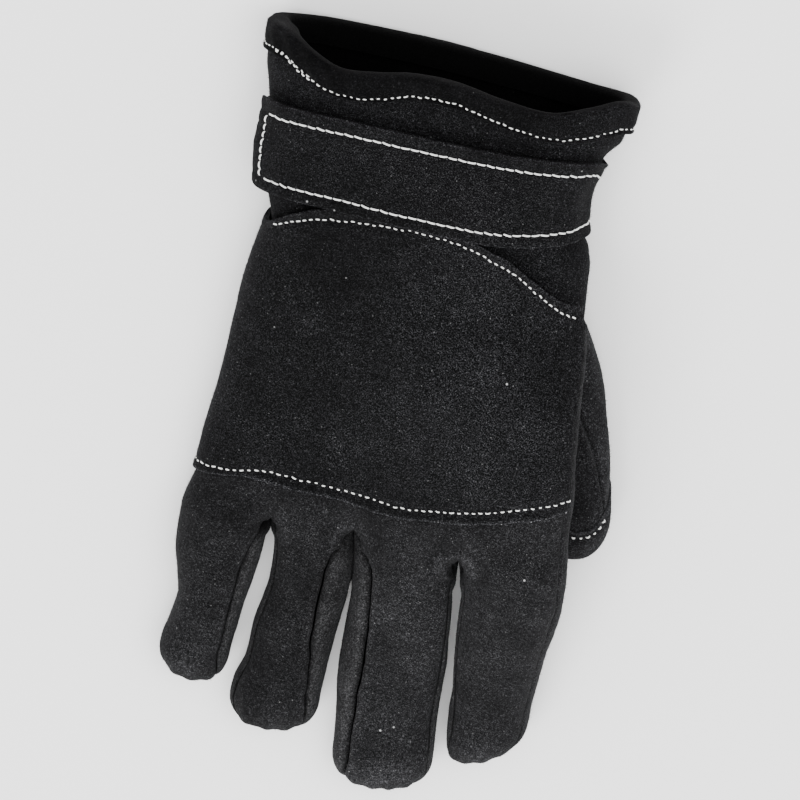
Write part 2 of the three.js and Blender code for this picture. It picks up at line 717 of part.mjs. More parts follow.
export default glove;
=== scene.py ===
# %% [markdown]
# A black suede rope glove, lying on its palm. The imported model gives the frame: one rigid body
# with a node for each piece of leather. Here each piece gets its finished look. Everything that
# is new is a surface worked out with numpy, in millimetres, as leather work is measured, and
# turned into metres at the end.

# %% Load the frame
import math

import bpy
import numpy as np
from mathutils import Matrix, Vector


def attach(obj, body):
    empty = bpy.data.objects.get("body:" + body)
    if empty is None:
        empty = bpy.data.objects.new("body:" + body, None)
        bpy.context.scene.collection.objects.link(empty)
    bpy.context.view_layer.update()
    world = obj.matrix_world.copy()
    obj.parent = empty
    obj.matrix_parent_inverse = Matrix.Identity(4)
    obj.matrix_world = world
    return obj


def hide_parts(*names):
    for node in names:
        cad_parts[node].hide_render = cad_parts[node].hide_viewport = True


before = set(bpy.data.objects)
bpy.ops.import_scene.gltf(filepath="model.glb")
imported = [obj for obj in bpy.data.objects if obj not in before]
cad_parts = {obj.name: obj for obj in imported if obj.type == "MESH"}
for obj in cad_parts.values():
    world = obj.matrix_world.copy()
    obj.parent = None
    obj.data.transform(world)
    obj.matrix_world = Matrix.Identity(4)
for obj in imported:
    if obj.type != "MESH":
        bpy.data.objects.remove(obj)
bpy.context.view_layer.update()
MM = 0.001
print("nodes:", len(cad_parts))

# %% [markdown]
# A glove's pattern is a set of short tables: how wide the hand is at each station, or where a
# seam runs. A table here is one array for each named column. A few small curves do the rest, and
# they take whole arrays, so that a panel of ten thousand points is one call.

# %% Tables and curves
def table(columns, *rows):
    """One array for each named column; the first column is the one that is looked up."""
    return dict(zip(columns.split(), np.array(rows).T))


def curve(rows, at, column=None):
    """Cubic through a table's points, with the slope between the two neighbours at each.

    Where a table holds whole numbers only, its slopes are cut to whole numbers too.
    """
    names = list(rows)
    xs, ys = rows[names[0]], rows[column or names[1]]
    slopes = np.empty_like(ys)
    slopes[1:-1] = (ys[2:] - ys[:-2]) / (xs[2:] - xs[:-2])
    slopes[0] = (ys[1] - ys[0]) / (xs[1] - xs[0])
    slopes[-1] = (ys[-1] - ys[-2]) / (xs[-1] - xs[-2])
    at = np.clip(np.asarray(at, float), xs[0], xs[-1])
    i = np.clip(np.searchsorted(xs, at, side="right") - 1, 0, len(xs) - 2)
    h = xs[i + 1] - xs[i]
    t = (at - xs[i]) / h
    rise = ys[i] * (1 + 2 * t) * (1 - t) ** 2 + ys[i + 1] * t * t * (3 - 2 * t)
    return rise + h * (slopes[i] * t * (1 - t) ** 2 - slopes[i + 1] * t * t * (1 - t))


def curves(rows, at):
    """All columns of a table but the first, read at the same place."""
    return [curve(rows, at, name) for name in list(rows)[1:]]


# %% Steps, ramps and bells
def cosd(deg):
    """Cosine of an angle in degrees."""
    return np.cos(np.radians(deg))


def sind(deg):
    """Sine of an angle in degrees."""
    return np.sin(np.radians(deg))


def clamp01(t):
    """The value itself, held between 0 and 1."""
    return np.clip(t, 0.0, 1.0)


def mix(a, b, t):
    """The place between a and b: a at 0, b at 1."""
    return a + (b - a) * t


def smooth(t):
    """Soft step: three t squared less two t cubed."""
    t = clamp01(t)
    return t * t * (3 - 2 * t)


def ramp(t):
    """Straight ramp from 0 to 1 whose first and last quarters are parabolas."""
    t = clamp01(t)
    ends = np.where(t < 0.25, t * t / 0.375, 1 - (1 - t) ** 2 / 0.375)
    return np.where((t < 0.25) | (t > 0.75), ends, (t - 0.125) / 0.75)


def bell(distance, width):
    """1 at no distance, about a third at the width, and soon nothing."""
    return np.exp(-(distance / width) ** 2)


# %% Points and lines of points
def points_of(x, y, z):
    """One array of points from three arrays, numbers or both."""
    return np.stack(np.broadcast_arrays(x, y, z), -1)


def xyz(points):
    """The three coordinates as arrays of their own."""
    return np.moveaxis(points, -1, 0)


def unit(vectors):
    """The same directions, one millimetre long."""
    return vectors / np.maximum(np.linalg.norm(vectors, axis=-1, keepdims=True), 1e-9)


def dot(a, b):
    """Sum of products of each pair of rows, kept as a column."""
    return np.einsum("ij,ij->i", a, b)[:, None]


def run_along(points):
    """Distance from the first point, along a line of points or along each row of a grid."""
    step = np.linalg.norm(np.diff(points, axis=-2), axis=-1)
    return np.concatenate([np.zeros(step.shape[:-1] + (1,)), np.cumsum(step, axis=-1)], axis=-1)


def rows_between(low, top, count, power=1.0):
    """Rows of stations from one edge to the other; a power above 1 crowds the first rows."""
    return mix(low, top, np.linspace(0, 1, count)[:, None] ** power)


# %% [markdown]
# Real leather is never even. A lattice of seeded random values, blended smoothly in three
# directions, gives slow dents. Folding the same noise about its middle gives thin creases. Both
# depend only on where a point is, so neighbouring pieces and stitches move together.

# %% Seeded noise
LATTICE = np.random.default_rng(7).uniform(-1.0, 1.0, (32, 32, 32))
print("lattice:", LATTICE.size, "values, mean", round(float(LATTICE.mean()), 3))


def noise(x, y, z, size):
    """Blend of the eight lattice values round a point, with soft-step weights."""
    p = points_of(x, y, z) / size + 100.0
    cell = np.floor(p).astype(int)
    f = p - cell
    f = f * f * (3 - 2 * f)
    total = np.zeros(p.shape[:-1])
    for corner in range(8):
        d = np.array([corner & 1, (corner >> 1) & 1, (corner >> 2) & 1])
        weight = np.prod(np.where(d == 1, f, 1 - f), axis=-1)
        i = (cell + d) % 32
        total += weight * LATTICE[i[..., 0], i[..., 1], i[..., 2]]
    return total


def dents(x, y, z, depth=1.0):
    """Slow dents, finer ones on top, and thin creases, in millimetres outwards."""
    slow = 0.75 * noise(x, y, z, 34.0) + 0.32 * noise(y, z, x, 13.0)
    crease = 1 - np.abs(noise(z, x, y * 1.7, 17.0)) * 9.0
    fine = 0.10 * noise(x, z, y, 4.2) + 0.05 * noise(y, x, z, 1.9)
    return depth * (slow - 0.32 * smooth(crease) + fine)


# %% [markdown]
# Hand and cuff are one tube. A section of it is a rounded arch over a flattened under side, and
# a table says how wide and high it is at each station. Layers laid over the tube use the same
# section with a negative inset, so they lie on it like real leather.

# %% The pattern of the hand
RIM, WAVE_FROM = 125.0, 106.0
LEAN_FROM, LEAN_TO, LEAN_RISE = 60.0, 120.0, 0.095
HAND = table(
    "station left right under height",
    [-60, -67.4, 63.0, 0.0, 25.0], [-42, -66.9, 63.0, 0.0, 25.0], [-26, -62.8, 62.0, 0.0, 27.0],
    [-7, -60.2, 61.2, 0.0, 28.5], [17, -56.8, 59.2, 0.0, 29.5], [33, -55.2, 58.6, 0.0, 30.5],
    [48, -53.4, 57.2, 0.4, 31.0], [62, -51.2, 55.2, 2.0, 31.5], [76, -53.4, 52.4, 2.3, 32.5],
    [90, -54.8, 52.2, 2.3, 34.0], [104, -57.0, 56.4, 2.3, 35.0], [113, -58.8, 60.4, 2.3, 36.0],
    [125, -58.2, 62.6, 2.3, 37.0], [140, -58.4, 64.0, 2.3, 37.0])
RIM_WAVE = table(
    "x back palm", [-64, 1.5, 0], [-52, 0.4, -0.8], [-43, -3.6, -0.8], [-34, -6.2, -0.4],
    [-22, -4.2, 0], [-10, -1.4, 0.2], [4, -0.9, 0], [20, -3.4, -0.6], [36, -4.7, -1.6],
    [48, -1.2, -2.2], [60, 2.4, -1], [70, 1.5, 0])
LIFT_FROM, LIFT_TO = -26.0, 58.0
LIFT = table(
    "y height", [-140, 0], [-106, 0], [-90, 4.5], [-66, 15], [-42, 23.5], [-20, 25], [12, 25],
    [26, 19], [38, 10], [48, 3.6], [58, 0.6], [68, 0], [140, 0])
print(f"rim: {curve(HAND, RIM, 'right') - curve(HAND, RIM, 'left'):.1f} mm across")


# %% The hand and cuff surface
def lift(x, y):
    """How far the index-finger side is raised over the thumb."""
    return np.maximum(0.0, curve(LIFT, y)) * ramp((x - LIFT_FROM) / (LIFT_TO - LIFT_FROM))


def section(s, deg, inset):
    """Superellipse with its own power above and below the widest line, cut flat underneath."""
    c, w = cosd(deg), sind(deg)
    power = 2.0 / np.where(w >= 0, s["top"], s["low"])
    x = s["x"] + (s["half"] - inset) * np.sign(c) * np.abs(c) ** power
    up = np.abs(w) ** power
    over = s["side"] + (s["above"] - inset) * up
    below = np.maximum(s["side"] - (s["below"] - inset) * up, s["under"] + inset)
    return x, np.where(w >= 0, over, below)


def hand_section(y):
    """Middle, half width and heights at a station, widest at 0.42 of the height."""
    left, right, under, height = curves(HAND, y)
    under = np.maximum(0.0, under)
    return dict(x=(left + right) / 2, half=(right - left) / 2, side=under + 0.42 * height,
                above=0.58 * height, below=0.42 * height + 3, under=under, top=2.3, low=2.8)


def slant(station, x):
    """The cuff's sections lean: the thumb side of the rim lies lower."""
    return station - smooth((station - LEAN_FROM) / (LEAN_TO - LEAN_FROM)) * LEAN_RISE * x


def station_of(x, y):
    """The station whose slanted section passes through x and y."""
    s = np.array(y, float) * np.ones_like(np.asarray(x, float))
    for _ in range(8):
        s = s + (y - slant(s, x))
    return s


def hand(y, deg, inset=0.0):
    """A point of the tube at station y and angle deg round it, sunk by inset."""
    x, z = section(hand_section(y), deg, inset)
    up = 2 * sind(deg)
    back, palm = curves(RIM_WAVE, x)
    wave = smooth(up) * back + smooth(-up) * palm
    at = slant(y, x) + smooth((y - WAVE_FROM) / (RIM - WAVE_FROM)) * wave
    return points_of(x, at, z + lift(x, at))


def hand_x(deg):
    """Where a line that runs along the hand at this angle lies across it."""
    return hand(30.0, deg)[..., 0]


def back_angle(x, y):
    """Angle round the tube of the point of its upper side that lies over x."""
    s = hand_section(y)
    rel = np.clip((x - s["x"]) / s["half"], -1, 1)
    return np.degrees(np.arccos(np.sign(rel) * np.abs(rel) ** (s["top"] / 2)))


def even_angles(from_deg, to_deg, count, y=20.0):
    """Angles whose points lie evenly round the section."""
    deg = np.linspace(from_deg, to_deg, 1500)
    run = run_along(hand(y, deg))
    return np.interp(np.linspace(0, run[-1], count), run, deg)


print(f"round the knuckles: {run_along(hand(-20.0, np.linspace(0, 360, 721)))[-1]:.0f} mm")

# %% [markdown]
# A finger is the same kind of tube with a rounded end. Where two fingers meet, both close in on
# one line in a small arc, which is the crotch that the gusset lines. Between crotch and knuckles
# the sections of four fingers turn into the one section of the hand.

# %% The pattern of the fingers
# Thickness of the glove's leather, of patch and hem, and of the strap, and the gap between two.
LEATHER, LAYER, STRAP, GAP = 1.8, 1.6, 1.8, 0.3
# Where the crotches lie, the radius of their arcs, and how soon the fingers become the hand.
CROTCH, CROTCH_R, BLEND = -42.0, 3.0, 12.0
CROTCH_X = [-36.9, -9.2, 26.5]
SEAM_DEG, GUSSET_DEG = 1.0, 35.0
# tip and tip_x say where a finger ends, and cap how long its rounded end is. shown is how deep
# its seams roll in, from 0 to 1. seams is one angle, or a table where the seam wanders. Pairs
# give the right side first.
PINKY = dict(
    tip=-104.8, cap=12.0, tip_x=-55.6, shown=(0.5, 0.2),
    seams=(table("y angle", [-110, 40], [-90, 46], [-76, 52], [-62, 54], [-54, 48], [-48, 38],
                 [-42, 22]), None),
    rows=table("y left right height", [-105, -68.4, -44.8, 19], [-92, -68.2, -44.6, 20],
               [-84, -66.4, -43.4, 21], [-75, -64.6, -42.1, 22], [-66, -65.7, -40.2, 23],
               [-56, -67.3, -38.7, 24], [-42, -66.9, -37.6, 25]))
RING = dict(
    tip=-118.6, cap=12.0, tip_x=-28.2, shown=(0.8, 0.15),
    seams=(table("y angle", [-110, 40], [-100, 47], [-90, 57], [-80, 66], [-66, 74], [-57, 71],
                 [-51, 64], [-47, 52], [-44, 36], [-42, 22]), 22),
    rows=table("y left right height", [-119, -43.0, -12.8, 19.5], [-103, -41.8, -12.8, 20.5],
               [-94, -38.9, -11.9, 21.5], [-81, -37.9, -10.4, 22.5], [-72, -36.0, -9.1, 23],
               [-65, -34.8, -8.2, 23.5], [-52, -34.6, -8.6, 24.5], [-42, -36.2, -9.6, 25]))
MIDDLE = dict(
    tip=-134.2, cap=12.0, tip_x=9.4, shown=(0.15, 1.0),
    seams=(24, table("y angle", [-116, 46], [-100, 52], [-90, 57], [-76, 56], [-66, 53],
                     [-56, 50], [-50, 45], [-46, 34], [-42, 22])),
    rows=table("y left right height", [-135, -6.2, 27.2, 20], [-120, -6.0, 27.4, 21],
               [-107, -6.7, 27.0, 22], [-94, -7.8, 27.1, 23], [-80, -7.7, 27.4, 23.5],
               [-64, -7.1, 26.9, 24], [-52, -7.3, 25.9, 24.5], [-42, -8.8, 25.8, 25]))
INDEX = dict(
    tip=-120.8, cap=15.0, tip_x=35.8, shown=(0.2, 0.3), seams=(None, 26),
    rows=table("y left right height", [-122, 31.0, 54.0, 20], [-106, 30.8, 56.8, 21],
               [-96, 30.2, 57.4, 22], [-84, 29.3, 58.6, 23], [-72, 28.8, 59.8, 23.5],
               [-61, 28.6, 61.8, 24], [-51, 28.6, 63.0, 24.5], [-42, 27.2, 63.0, 25]))
FINGERS = [PINKY, RING, MIDDLE, INDEX]
print(f"middle finger: {CROTCH - MIDDLE['tip']:.1f} mm long on its straight side")


# %% The finger surfaces
def finger(i, y0, turn, deg, inset=0.0, off=0.0):
    """Point of finger i: y0 along it, or turned over its rounded tip, at angle deg.

    Near the crotch, x moves to the line between two fingers by the cube of how far out it is.
    """
    spec = FINGERS[i]
    c = np.maximum(0.0, cosd(turn))
    scale = c ** 0.8
    near = clamp01(1 - np.abs(y0 - CROTCH) / 8)
    y = y0 - (spec["cap"] - inset) * sind(turn) + inset * near
    left, right, height = curves(spec["rows"], np.minimum(y, CROTCH))
    s = dict(x=mix((left + right) / 2, spec["tip_x"], 1 - c), half=(right - left) / 2 * scale,
             side=0.42 * height, above=0.58 * height * scale, below=(0.42 * height + 2) * scale,
             under=0.0, top=2.3, low=2.8)
    x, z = section(s, deg, inset * scale)
    right_side = cosd(deg) > 0
    shared = np.where(right_side, i < 3, i > 0)
    depth = CROTCH + inset - y
    radius = CROTCH_R + np.maximum(inset, 0)
    is_open = np.sqrt(1 - (1 - clamp01(depth / radius)) ** 2)
    edge = np.where(right_side, CROTCH_X[min(i, 2)], CROTCH_X[max(i - 1, 0)])
    turned = (GUSSET_DEG + SEAM_DEG) * np.where(sind(deg) >= 0, 1, -1)
    seam = section(s, turned, inset * scale)[0] - s["x"]
    across = np.minimum(1.0, np.abs(x - s["x"]) / np.maximum(seam, 1e-6))
    reach = np.where(across < 1, s["x"] + np.where(right_side, seam, -seam), x)
    x = x + np.where(shared & (depth < radius), across ** 3 * (edge - reach) * (1 - is_open), 0)
    return points_of(x, y, z + off * (1 - scale) + lift(x, y))


def lane(i, y, deg, inset=0.0):
    """Point of the hand in line with finger i, between the crotch and the knuckles."""
    root = finger(i, CROTCH, 0.0, deg)[..., 0]
    s = hand_section(CROTCH)
    rel = np.minimum(1.0, np.abs(root - s["x"]) / s["half"])
    above = sind(deg) >= 0
    angle = np.degrees(np.arccos(rel ** (np.where(above, s["top"], s["low"]) / 2)))
    around = np.where(root > s["x"], angle, 180 - angle)
    hs = hand_section(y)
    hx, hz = section(hs, np.where(above, around, -around), inset)
    near = smooth(1 - (y - CROTCH) / BLEND)
    at = y + inset * clamp01(1 - (y - CROTCH) / 8)
    fx, fy, fz = xyz(finger(i, CROTCH, 0.0, deg, inset))
    x = mix(hx, hs["x"] + (fx - s["x"]) / s["half"] * hs["half"], near)
    return points_of(x, slant(at, x), mix(hz, fz - lift(fx, fy), near) + lift(x, at))


# %% [markdown]
# Light and shade are painted into the suede's tone: paler where it stands out and catches the
# light, darker in hollows and in the strap's shadow. A short table of soft spots gives that
# painted light and shade, and each vertex keeps its own tone for the material to read. A second
# table holds single creases, each a short soft ridge or furrow.

# %% Soft spots and single creases
# Spots of painted light (gain above 0) and painted shade (gain below 0): highlights where the
# leather stands out, shade in crotch pockets and in the strap's shadow.
LIGHT_AND_SHADE_SPOTS = table(
    "x y radius gain",
    [-2.3, -64.0, 9, 0.25], [30.9, -35.0, 4, 0.6], [-10.6, -36.0, 5, 0.4],
    [-23.6, -108.0, 8, 0.7], [12.0, -126.0, 9, 0.9], [40.7, -116.0, 7, 0.9],
    [-56.5, -99.0, 7, 0.5], [-22.0, 60.0, 30, -0.5], [30.0, 14.0, 30, 0.3],
    [-45.0, 18.0, 18, -0.15], [-20.0, -62.0, 12, -0.25], [45.0, -62.0, 14, -0.2],
    [-45.0, -43.0, 6, -0.35], [-37.9, -44.0, 3, -0.8], [27.2, -46.5, 3, -0.85],
    [-9.1, -46.5, 2.6, -0.3], [64.3, -22.0, 5, -0.35], [57.5, 36.0, 4, 0.5],
    [58.6, 23.0, 4, 0.4], [68.0, -4.0, 5, 0.35], [10.0, -60.0, 16, 0.25])
CREASES = table(
    "x y turn half_length half_width height",
    [37.5, -55.0, -80, 16, 1.5, -0.7], [-41.8, -42.4, 15, 4, 2.6, -1.0],
    [57.0, 36.0, 80, 3.5, 1.8, 0.6], [58.4, 23.0, 100, 3.5, 1.8, 0.6],
    [-47.0, 127.0, 50, 3.0, 1.1, 0.7], [-56.0, -72.0, 10, 8, 1.6, -0.3],
    [-25.0, -78.0, -8, 9, 1.8, -0.3], [9.0, -84.0, 4, 10, 2.0, -0.3],
    [45.0, -80.0, 12, 9, 1.8, -0.3], [8.0, -120.0, 20, 6, 1.5, 0.35],
    [-31.0, -107.0, 60, 5, 1.3, -0.4], [36.0, -113.0, -20, 4, 1.3, 0.4])
print(len(LIGHT_AND_SHADE_SPOTS["x"]), "soft spots and", len(CREASES["x"]), "creases")


# %% Tone and small shapes
def painted_light_and_shade(x, y):
    """Painted light and shade: product of the soft spots and of a highlight arch with a shade ring
    at each crotch.
    """
    total = np.ones(np.shape(x))
    for cx, cy, radius, gain in zip(*LIGHT_AND_SHADE_SPOTS.values()):
        total *= 1 + gain * np.exp(-((x - cx) ** 2 + (y - cy) ** 2) / radius ** 2)
    for cx, strength in zip(CROTCH_X, (0.25, 0.7, 1.0)):
        d = np.hypot((x - cx) * 0.85, y - CROTCH)
        # Painted highlight arch round the crotch, and a ring of painted shade outside it.
        ring = 0.9 * bell(d - 4.8, 1.3) - 0.3 * bell(d - 8.0, 1.6)
        total *= 1 + strength * ring * smooth((y - CROTCH + 4) / 4)
    return total


def creases(x, y):
    """Sum of the single ridges and furrows of the table."""
    total = np.zeros(np.broadcast(x, y).shape)
    for cx, cy, turn, length, width, height in zip(*CREASES.values()):
        c, s = math.cos(math.radians(turn)), math.sin(math.radians(turn))
        along = ((x - cx) * c + (y - cy) * s) / length
        across = ((y - cy) * c - (x - cx) * s) / width
        total += height * np.exp(-across ** 2 - along ** 4)
    return total


def crotch_folds(x, y):
    """A pocket at each crotch, a ridge round it and weaker ones outside."""
    total = np.zeros(np.broadcast(x, y).shape)
    for cx, strength in zip(CROTCH_X, (0.4, 0.9, 1.2)):
        d = np.hypot((x - cx) * 0.85, y - CROTCH)
        ridge = 1.2 * bell(d - 4.9, 1.6) + 0.35 * bell(d - 9.6, 1.3)
        total += strength * (ridge - 1.1 * bell(d, 2.6))
    return total * smooth((y - CROTCH + 15) / 12)


def fingertip_folds(x, y):
    """Small gathers where the leather is drawn together over each fingertip."""
    total = np.zeros(np.broadcast(x, y).shape)
    for spec in FINGERS:
        d, across = y - spec["tip"], x - spec["tip_x"]
        near = bell(np.maximum(d - 2, 0), 6) * (np.abs(across) < 22)
        total += 0.4 * near * np.cos(across * 2 * np.pi / 6.3 + 1.1 * spec["cap"])
    return total


# %% [markdown]
# The raised fibres are what makes split leather look soft at its outline. Each one is a thin
# four-sided splinter rooted in the outer face and combed towards the wrist. Roots are strewn
# evenly by area with a seeded generator, and none stands where the glove lies on the table.

# %% Nap
NAP_PER_MM2, NAP_MOST, NAP_THICK = 0.75, 17000, 0.06
SPLINTER = np.array([[0, 2, 1], [0, 1, 3], [1, 2, 3], [2, 0, 3]])
print(f"fibres: {NAP_PER_MM2} on a square millimetre, at most {NAP_MOST} on a piece")


def nap(outer, inner, tri, tone, seed, hair=1.0):
    """Points, faces and tones of the fibres on an outer face.

    Roots are picked by area. A tip lies its reach away: its rise is the sine of how steeply it
    stands up from the face, and the comb gives the direction along the face.
    """
    rng = np.random.default_rng(seed)
    a, b, c = (outer[tri[:, k]] for k in range(3))
    normal = np.cross(b - a, c - a)
    run = np.cumsum(np.linalg.norm(normal, axis=1) / 2)
    normal = unit(normal)
    normal[dot(normal, (outer - inner)[tri[:, 0]])[:, 0] < 0] *= -1
    count = int(min(NAP_MOST, run[-1] * NAP_PER_MM2))
    pick = np.searchsorted(run, rng.random(count) * run[-1])
    u, v = np.sqrt(rng.random((count, 1))), rng.random((count, 1))
    root = a[pick] * (1 - u) + b[pick] * (u * (1 - v)) + c[pick] * (u * v)
    tones = tone[tri[pick, 0]] * rng.uniform(0.6, 2.2, count)
    up = normal[pick]
    clear = (root[:, 2] > 2.0) | (up[:, 2] > -0.3)
    root, up, tones = root[clear], up[clear], tones[clear]
    k = len(root)
    comb = np.array([0.2, 0.8, 0.0]) + rng.normal(0, 0.8, (k, 3))
    comb = unit(comb - dot(comb, up) * up)
    side = np.cross(up, comb) * NAP_THICK
    reach = hair * rng.uniform(0.5, 1.2, (k, 1))
    rise = rng.uniform(0.15, 0.75, (k, 1))
    tip = root + reach * (comb * np.sqrt(1 - rise ** 2) + up * rise)
    tip[:, 2] = np.maximum(tip[:, 2], 0.05)
    low = root - NAP_THICK * up
    points = np.stack([low + side, low - side * 0.5 + comb * NAP_THICK,
                       low - side * 0.5 - comb * NAP_THICK, tip], 1).reshape(-1, 3)
    faces = (SPLINTER[None] + 4 * np.arange(k)[:, None, None]).reshape(-1, 3)
    return points, faces, np.repeat(tones, 4)


# %% [markdown]
# A panel becomes a real piece of leather when it has a thickness and a soft cut edge. The grids
# of one panel are welded where they share points, the free edges are found by counting, and
# along them a half-round strip joins the outer face to the inner one.

# %% From grids to triangles
def grid_quads(ids):
    """Quads between the rows and columns of a grid of vertex numbers."""
    corners = [ids[:-1, :-1], ids[:-1, 1:], ids[1:, 1:], ids[1:, :-1]]
    return np.stack(corners, -1).reshape(-1, 4)


def triangles(quads):
    """Two triangles for each quad, without those that have shrunk to a line."""
    tri = np.concatenate([quads[:, [0, 1, 2]], quads[:, [0, 2, 3]]])
    good = (tri[:, 0] != tri[:, 1]) & (tri[:, 1] != tri[:, 2]) & (tri[:, 2] != tri[:, 0])
    return tri[good]


def weld(grids):
    """One list of outer points, inner points, tones and quads from several grids."""
    outer, inner = (np.concatenate([g[k].reshape(-1, 3) for g in grids]) for k in (0, 1))
    tone = np.concatenate([g[2].ravel() for g in grids])
    quads, start = [], 0
    for _, _, shade in grids:
        quads.append(grid_quads(start + np.arange(shade.size).reshape(shade.shape)))
        start += shade.size
    _, first, back = np.unique(np.round(outer, 3), axis=0, return_index=True,
                               return_inverse=True)
    return outer[first], inner[first], tone[first], back.ravel()[np.concatenate(quads)]


def tube(outer, inner, tone=1.0):
    """Grid of a tube, whose last column is its first again."""
    outer[:, -1], inner[:, -1] = outer[:, 0], inner[:, 0]
    return outer, inner, np.broadcast_to(tone, outer.shape[:2])


def free_edges(tri):
    """Directed edges that no other triangle uses the other way round."""
    edges = np.concatenate([tri[:, [0, 1]], tri[:, [1, 2]], tri[:, [2, 0]]])
    n = int(tri.max()) + 1
    forward, backward = edges[:, 0] * n + edges[:, 1], edges[:, 1] * n + edges[:, 0]
    return edges[~np.isin(forward, backward)]


def facing_out(points, faces):
    """The same faces, turned round if their signed volume is negative."""
    a, b, c = (points[faces[:, k]] for k in range(3))
    return faces[:, ::-1] if np.einsum("ij,ij->", a, np.cross(b, c)) < 0 else faces


# %% From triangles to a piece
SHIFT_TO_FRAME = np.array([3.638, -0.616, 0.0])


def mesh_object(name, points, faces, tone=None):
    """Object from points in millimetres, flat where it would sink into the table, with tones."""
    points = np.asarray(points, float) - SHIFT_TO_FRAME
    points[:, 2] = np.maximum(points[:, 2], 0.0)
    faces = facing_out(points, faces)
    mesh = bpy.data.meshes.new(name)
    mesh.vertices.add(len(points))
    mesh.vertices.foreach_set("co", (points * MM).astype(np.float32).ravel())
    mesh.loops.add(faces.size)
    mesh.loops.foreach_set("vertex_index", faces.astype(np.int32).ravel())
    mesh.polygons.add(len(faces))
    mesh.polygons.foreach_set("loop_start", np.arange(0, faces.size, 3, dtype=np.int32))
    mesh.polygons.foreach_set("use_smooth", np.ones(len(faces), dtype=bool))
    mesh.update()
    if tone is not None:
        mesh.attributes.new("tone", "FLOAT", "POINT").data.foreach_set(
            "value", np.asarray(tone, np.float32))
    mesh.validate()
    obj = bpy.data.objects.new(name, mesh)
    bpy.context.scene.collection.objects.link(obj)
    size = np.ptp(points, axis=0)
    print(f"{name}: {len(faces)} triangles, {size[0]:.0f} x {size[1]:.0f} x {size[2]:.0f} mm")
    return obj


# %% A closed piece of leather
def leather_mesh(name, *grids, hair=1.0):
    """Closed piece: outer face, inner face, a half-round strip along free edges, and nap.

    The strip's three lines lie between the two faces, swelled out by the sine of their share.
    """
    outer, inner, tone, quads = weld(grids)
    tone = tone * painted_light_and_shade(outer[:, 0], outer[:, 1])
    tri = triangles(quads)
    edges = free_edges(tri)
    a, b = edges[:, 0], edges[:, 1]
    centre, thick = (outer + inner) / 2, outer - inner
    side = unit(np.cross(centre[b] - centre[a], thick[a]))
    out = np.zeros_like(outer)
    np.add.at(out, a, side)
    np.add.at(out, b, side)
    out = unit(out) * np.linalg.norm(thick, axis=1, keepdims=True)
    n, rim = len(outer), np.unique(edges)
    points, lines = [outer, inner], [np.arange(n)]
    for k, share in enumerate((0.14, 0.5, 0.86)):
        line = np.full(n, -1)
        line[rim] = 2 * n + k * len(rim) + np.arange(len(rim))
        swell = 0.32 * math.sin(math.pi * share)
        points.append((mix(outer, inner, share) + out * swell)[rim])
        lines.append(line)
    lines.append(n + np.arange(n))
    faces = [tri, tri[:, ::-1] + n]
    for upper, lower in zip(lines, lines[1:]):
        faces.append(np.stack([upper[a], lower[a], lower[b]], -1))
        faces.append(np.stack([upper[a], lower[b], upper[b]], -1))
    points = np.concatenate(points)
    faces = facing_out(points, np.concatenate(faces))
    hairs, hair_faces, hair_tones = nap(outer, inner, tri, tone, seed=1, hair=hair)
    # Painted shade on the inner face (0.1); on the edge strip, painted light near the outer face
    # and painted shade near the inner face.
    tones = [tone, np.full(n, 0.1)] + [tone[rim] * k for k in (1.2, 1.1, 0.5)] + [hair_tones]
    return mesh_object(name, np.concatenate([points, hairs]),
                       np.concatenate([faces, hair_faces + len(points)]), np.concatenate(tones))


# %% [markdown]
# Suede is split leather with its fibres raised. Up close it is thousands of short hairs: the
# light catches their tips, so the black is broken into tiny grey flecks, it lightens where the
# surface turns away, and no highlight is sharp. Noise at four sizes gives flecks, hairs, brushed
# patches and broad shading, and three of the four also give relief. Two kinds of specks are
# lint. All of it is multiplied by the tone of each vertex, and sheen gives the light rim.

# %% Material nodes
def plug(tree, node, **inputs):
    """Puts each constant on its socket, and links each output socket to its input."""
    for key, value in inputs.items():
        socket = node.inputs[key.replace("_", " ")]
        if isinstance(value, bpy.types.NodeSocket):
            tree.links.new(value, socket)
        else:
            socket.default_value = value
    return node


def new_material(name):
    """Material with its node tree and its shader."""
    material = bpy.data.materials.new(name)
    material.use_nodes = True
    tree = material.node_tree
    return material, tree, tree.nodes["Principled BSDF"]


def texture(tree, kind, output, **inputs):
    """Texture that is fixed to the piece itself."""
    place = tree.nodes.new("ShaderNodeTexCoord").outputs["Object"]
    return plug(tree, tree.nodes.new(kind), Vector=place, **inputs).outputs[output]


def shades(tree, source, *stops):
    """Colour ramp whose stops are (place, colour or grey level)."""
    node = plug(tree, tree.nodes.new("ShaderNodeValToRGB"), Fac=source)
    band = node.color_ramp
    while len(band.elements) < len(stops):
        band.elements.new(0.5)
    for element, (place, colour) in zip(band.elements, stops):
        element.position = place
        element.color = (*colour, 1.0) if np.ndim(colour) else (colour, colour, colour, 1.0)
    return node.outputs["Color"]


def blend(tree, a, b, how="MULTIPLY"):
    """Product of two colours, or their sum."""
    node = tree.nodes.new("ShaderNodeMix")
    node.data_type = "RGBA"
    node.blend_type = how
    return plug(tree, node, Factor=1.0, A=a, B=b).outputs["Result"]


def relief_of(tree, *layers):
    """Chain of bumps, each (height, strength, depth in metres)."""
    normal = {}
    for height, strength, depth in layers:
        bump = plug(tree, tree.nodes.new("ShaderNodeBump"), Strength=strength, Distance=depth,
                    Height=height, **normal)
        normal = {"Normal": bump.outputs["Normal"]}
    return normal


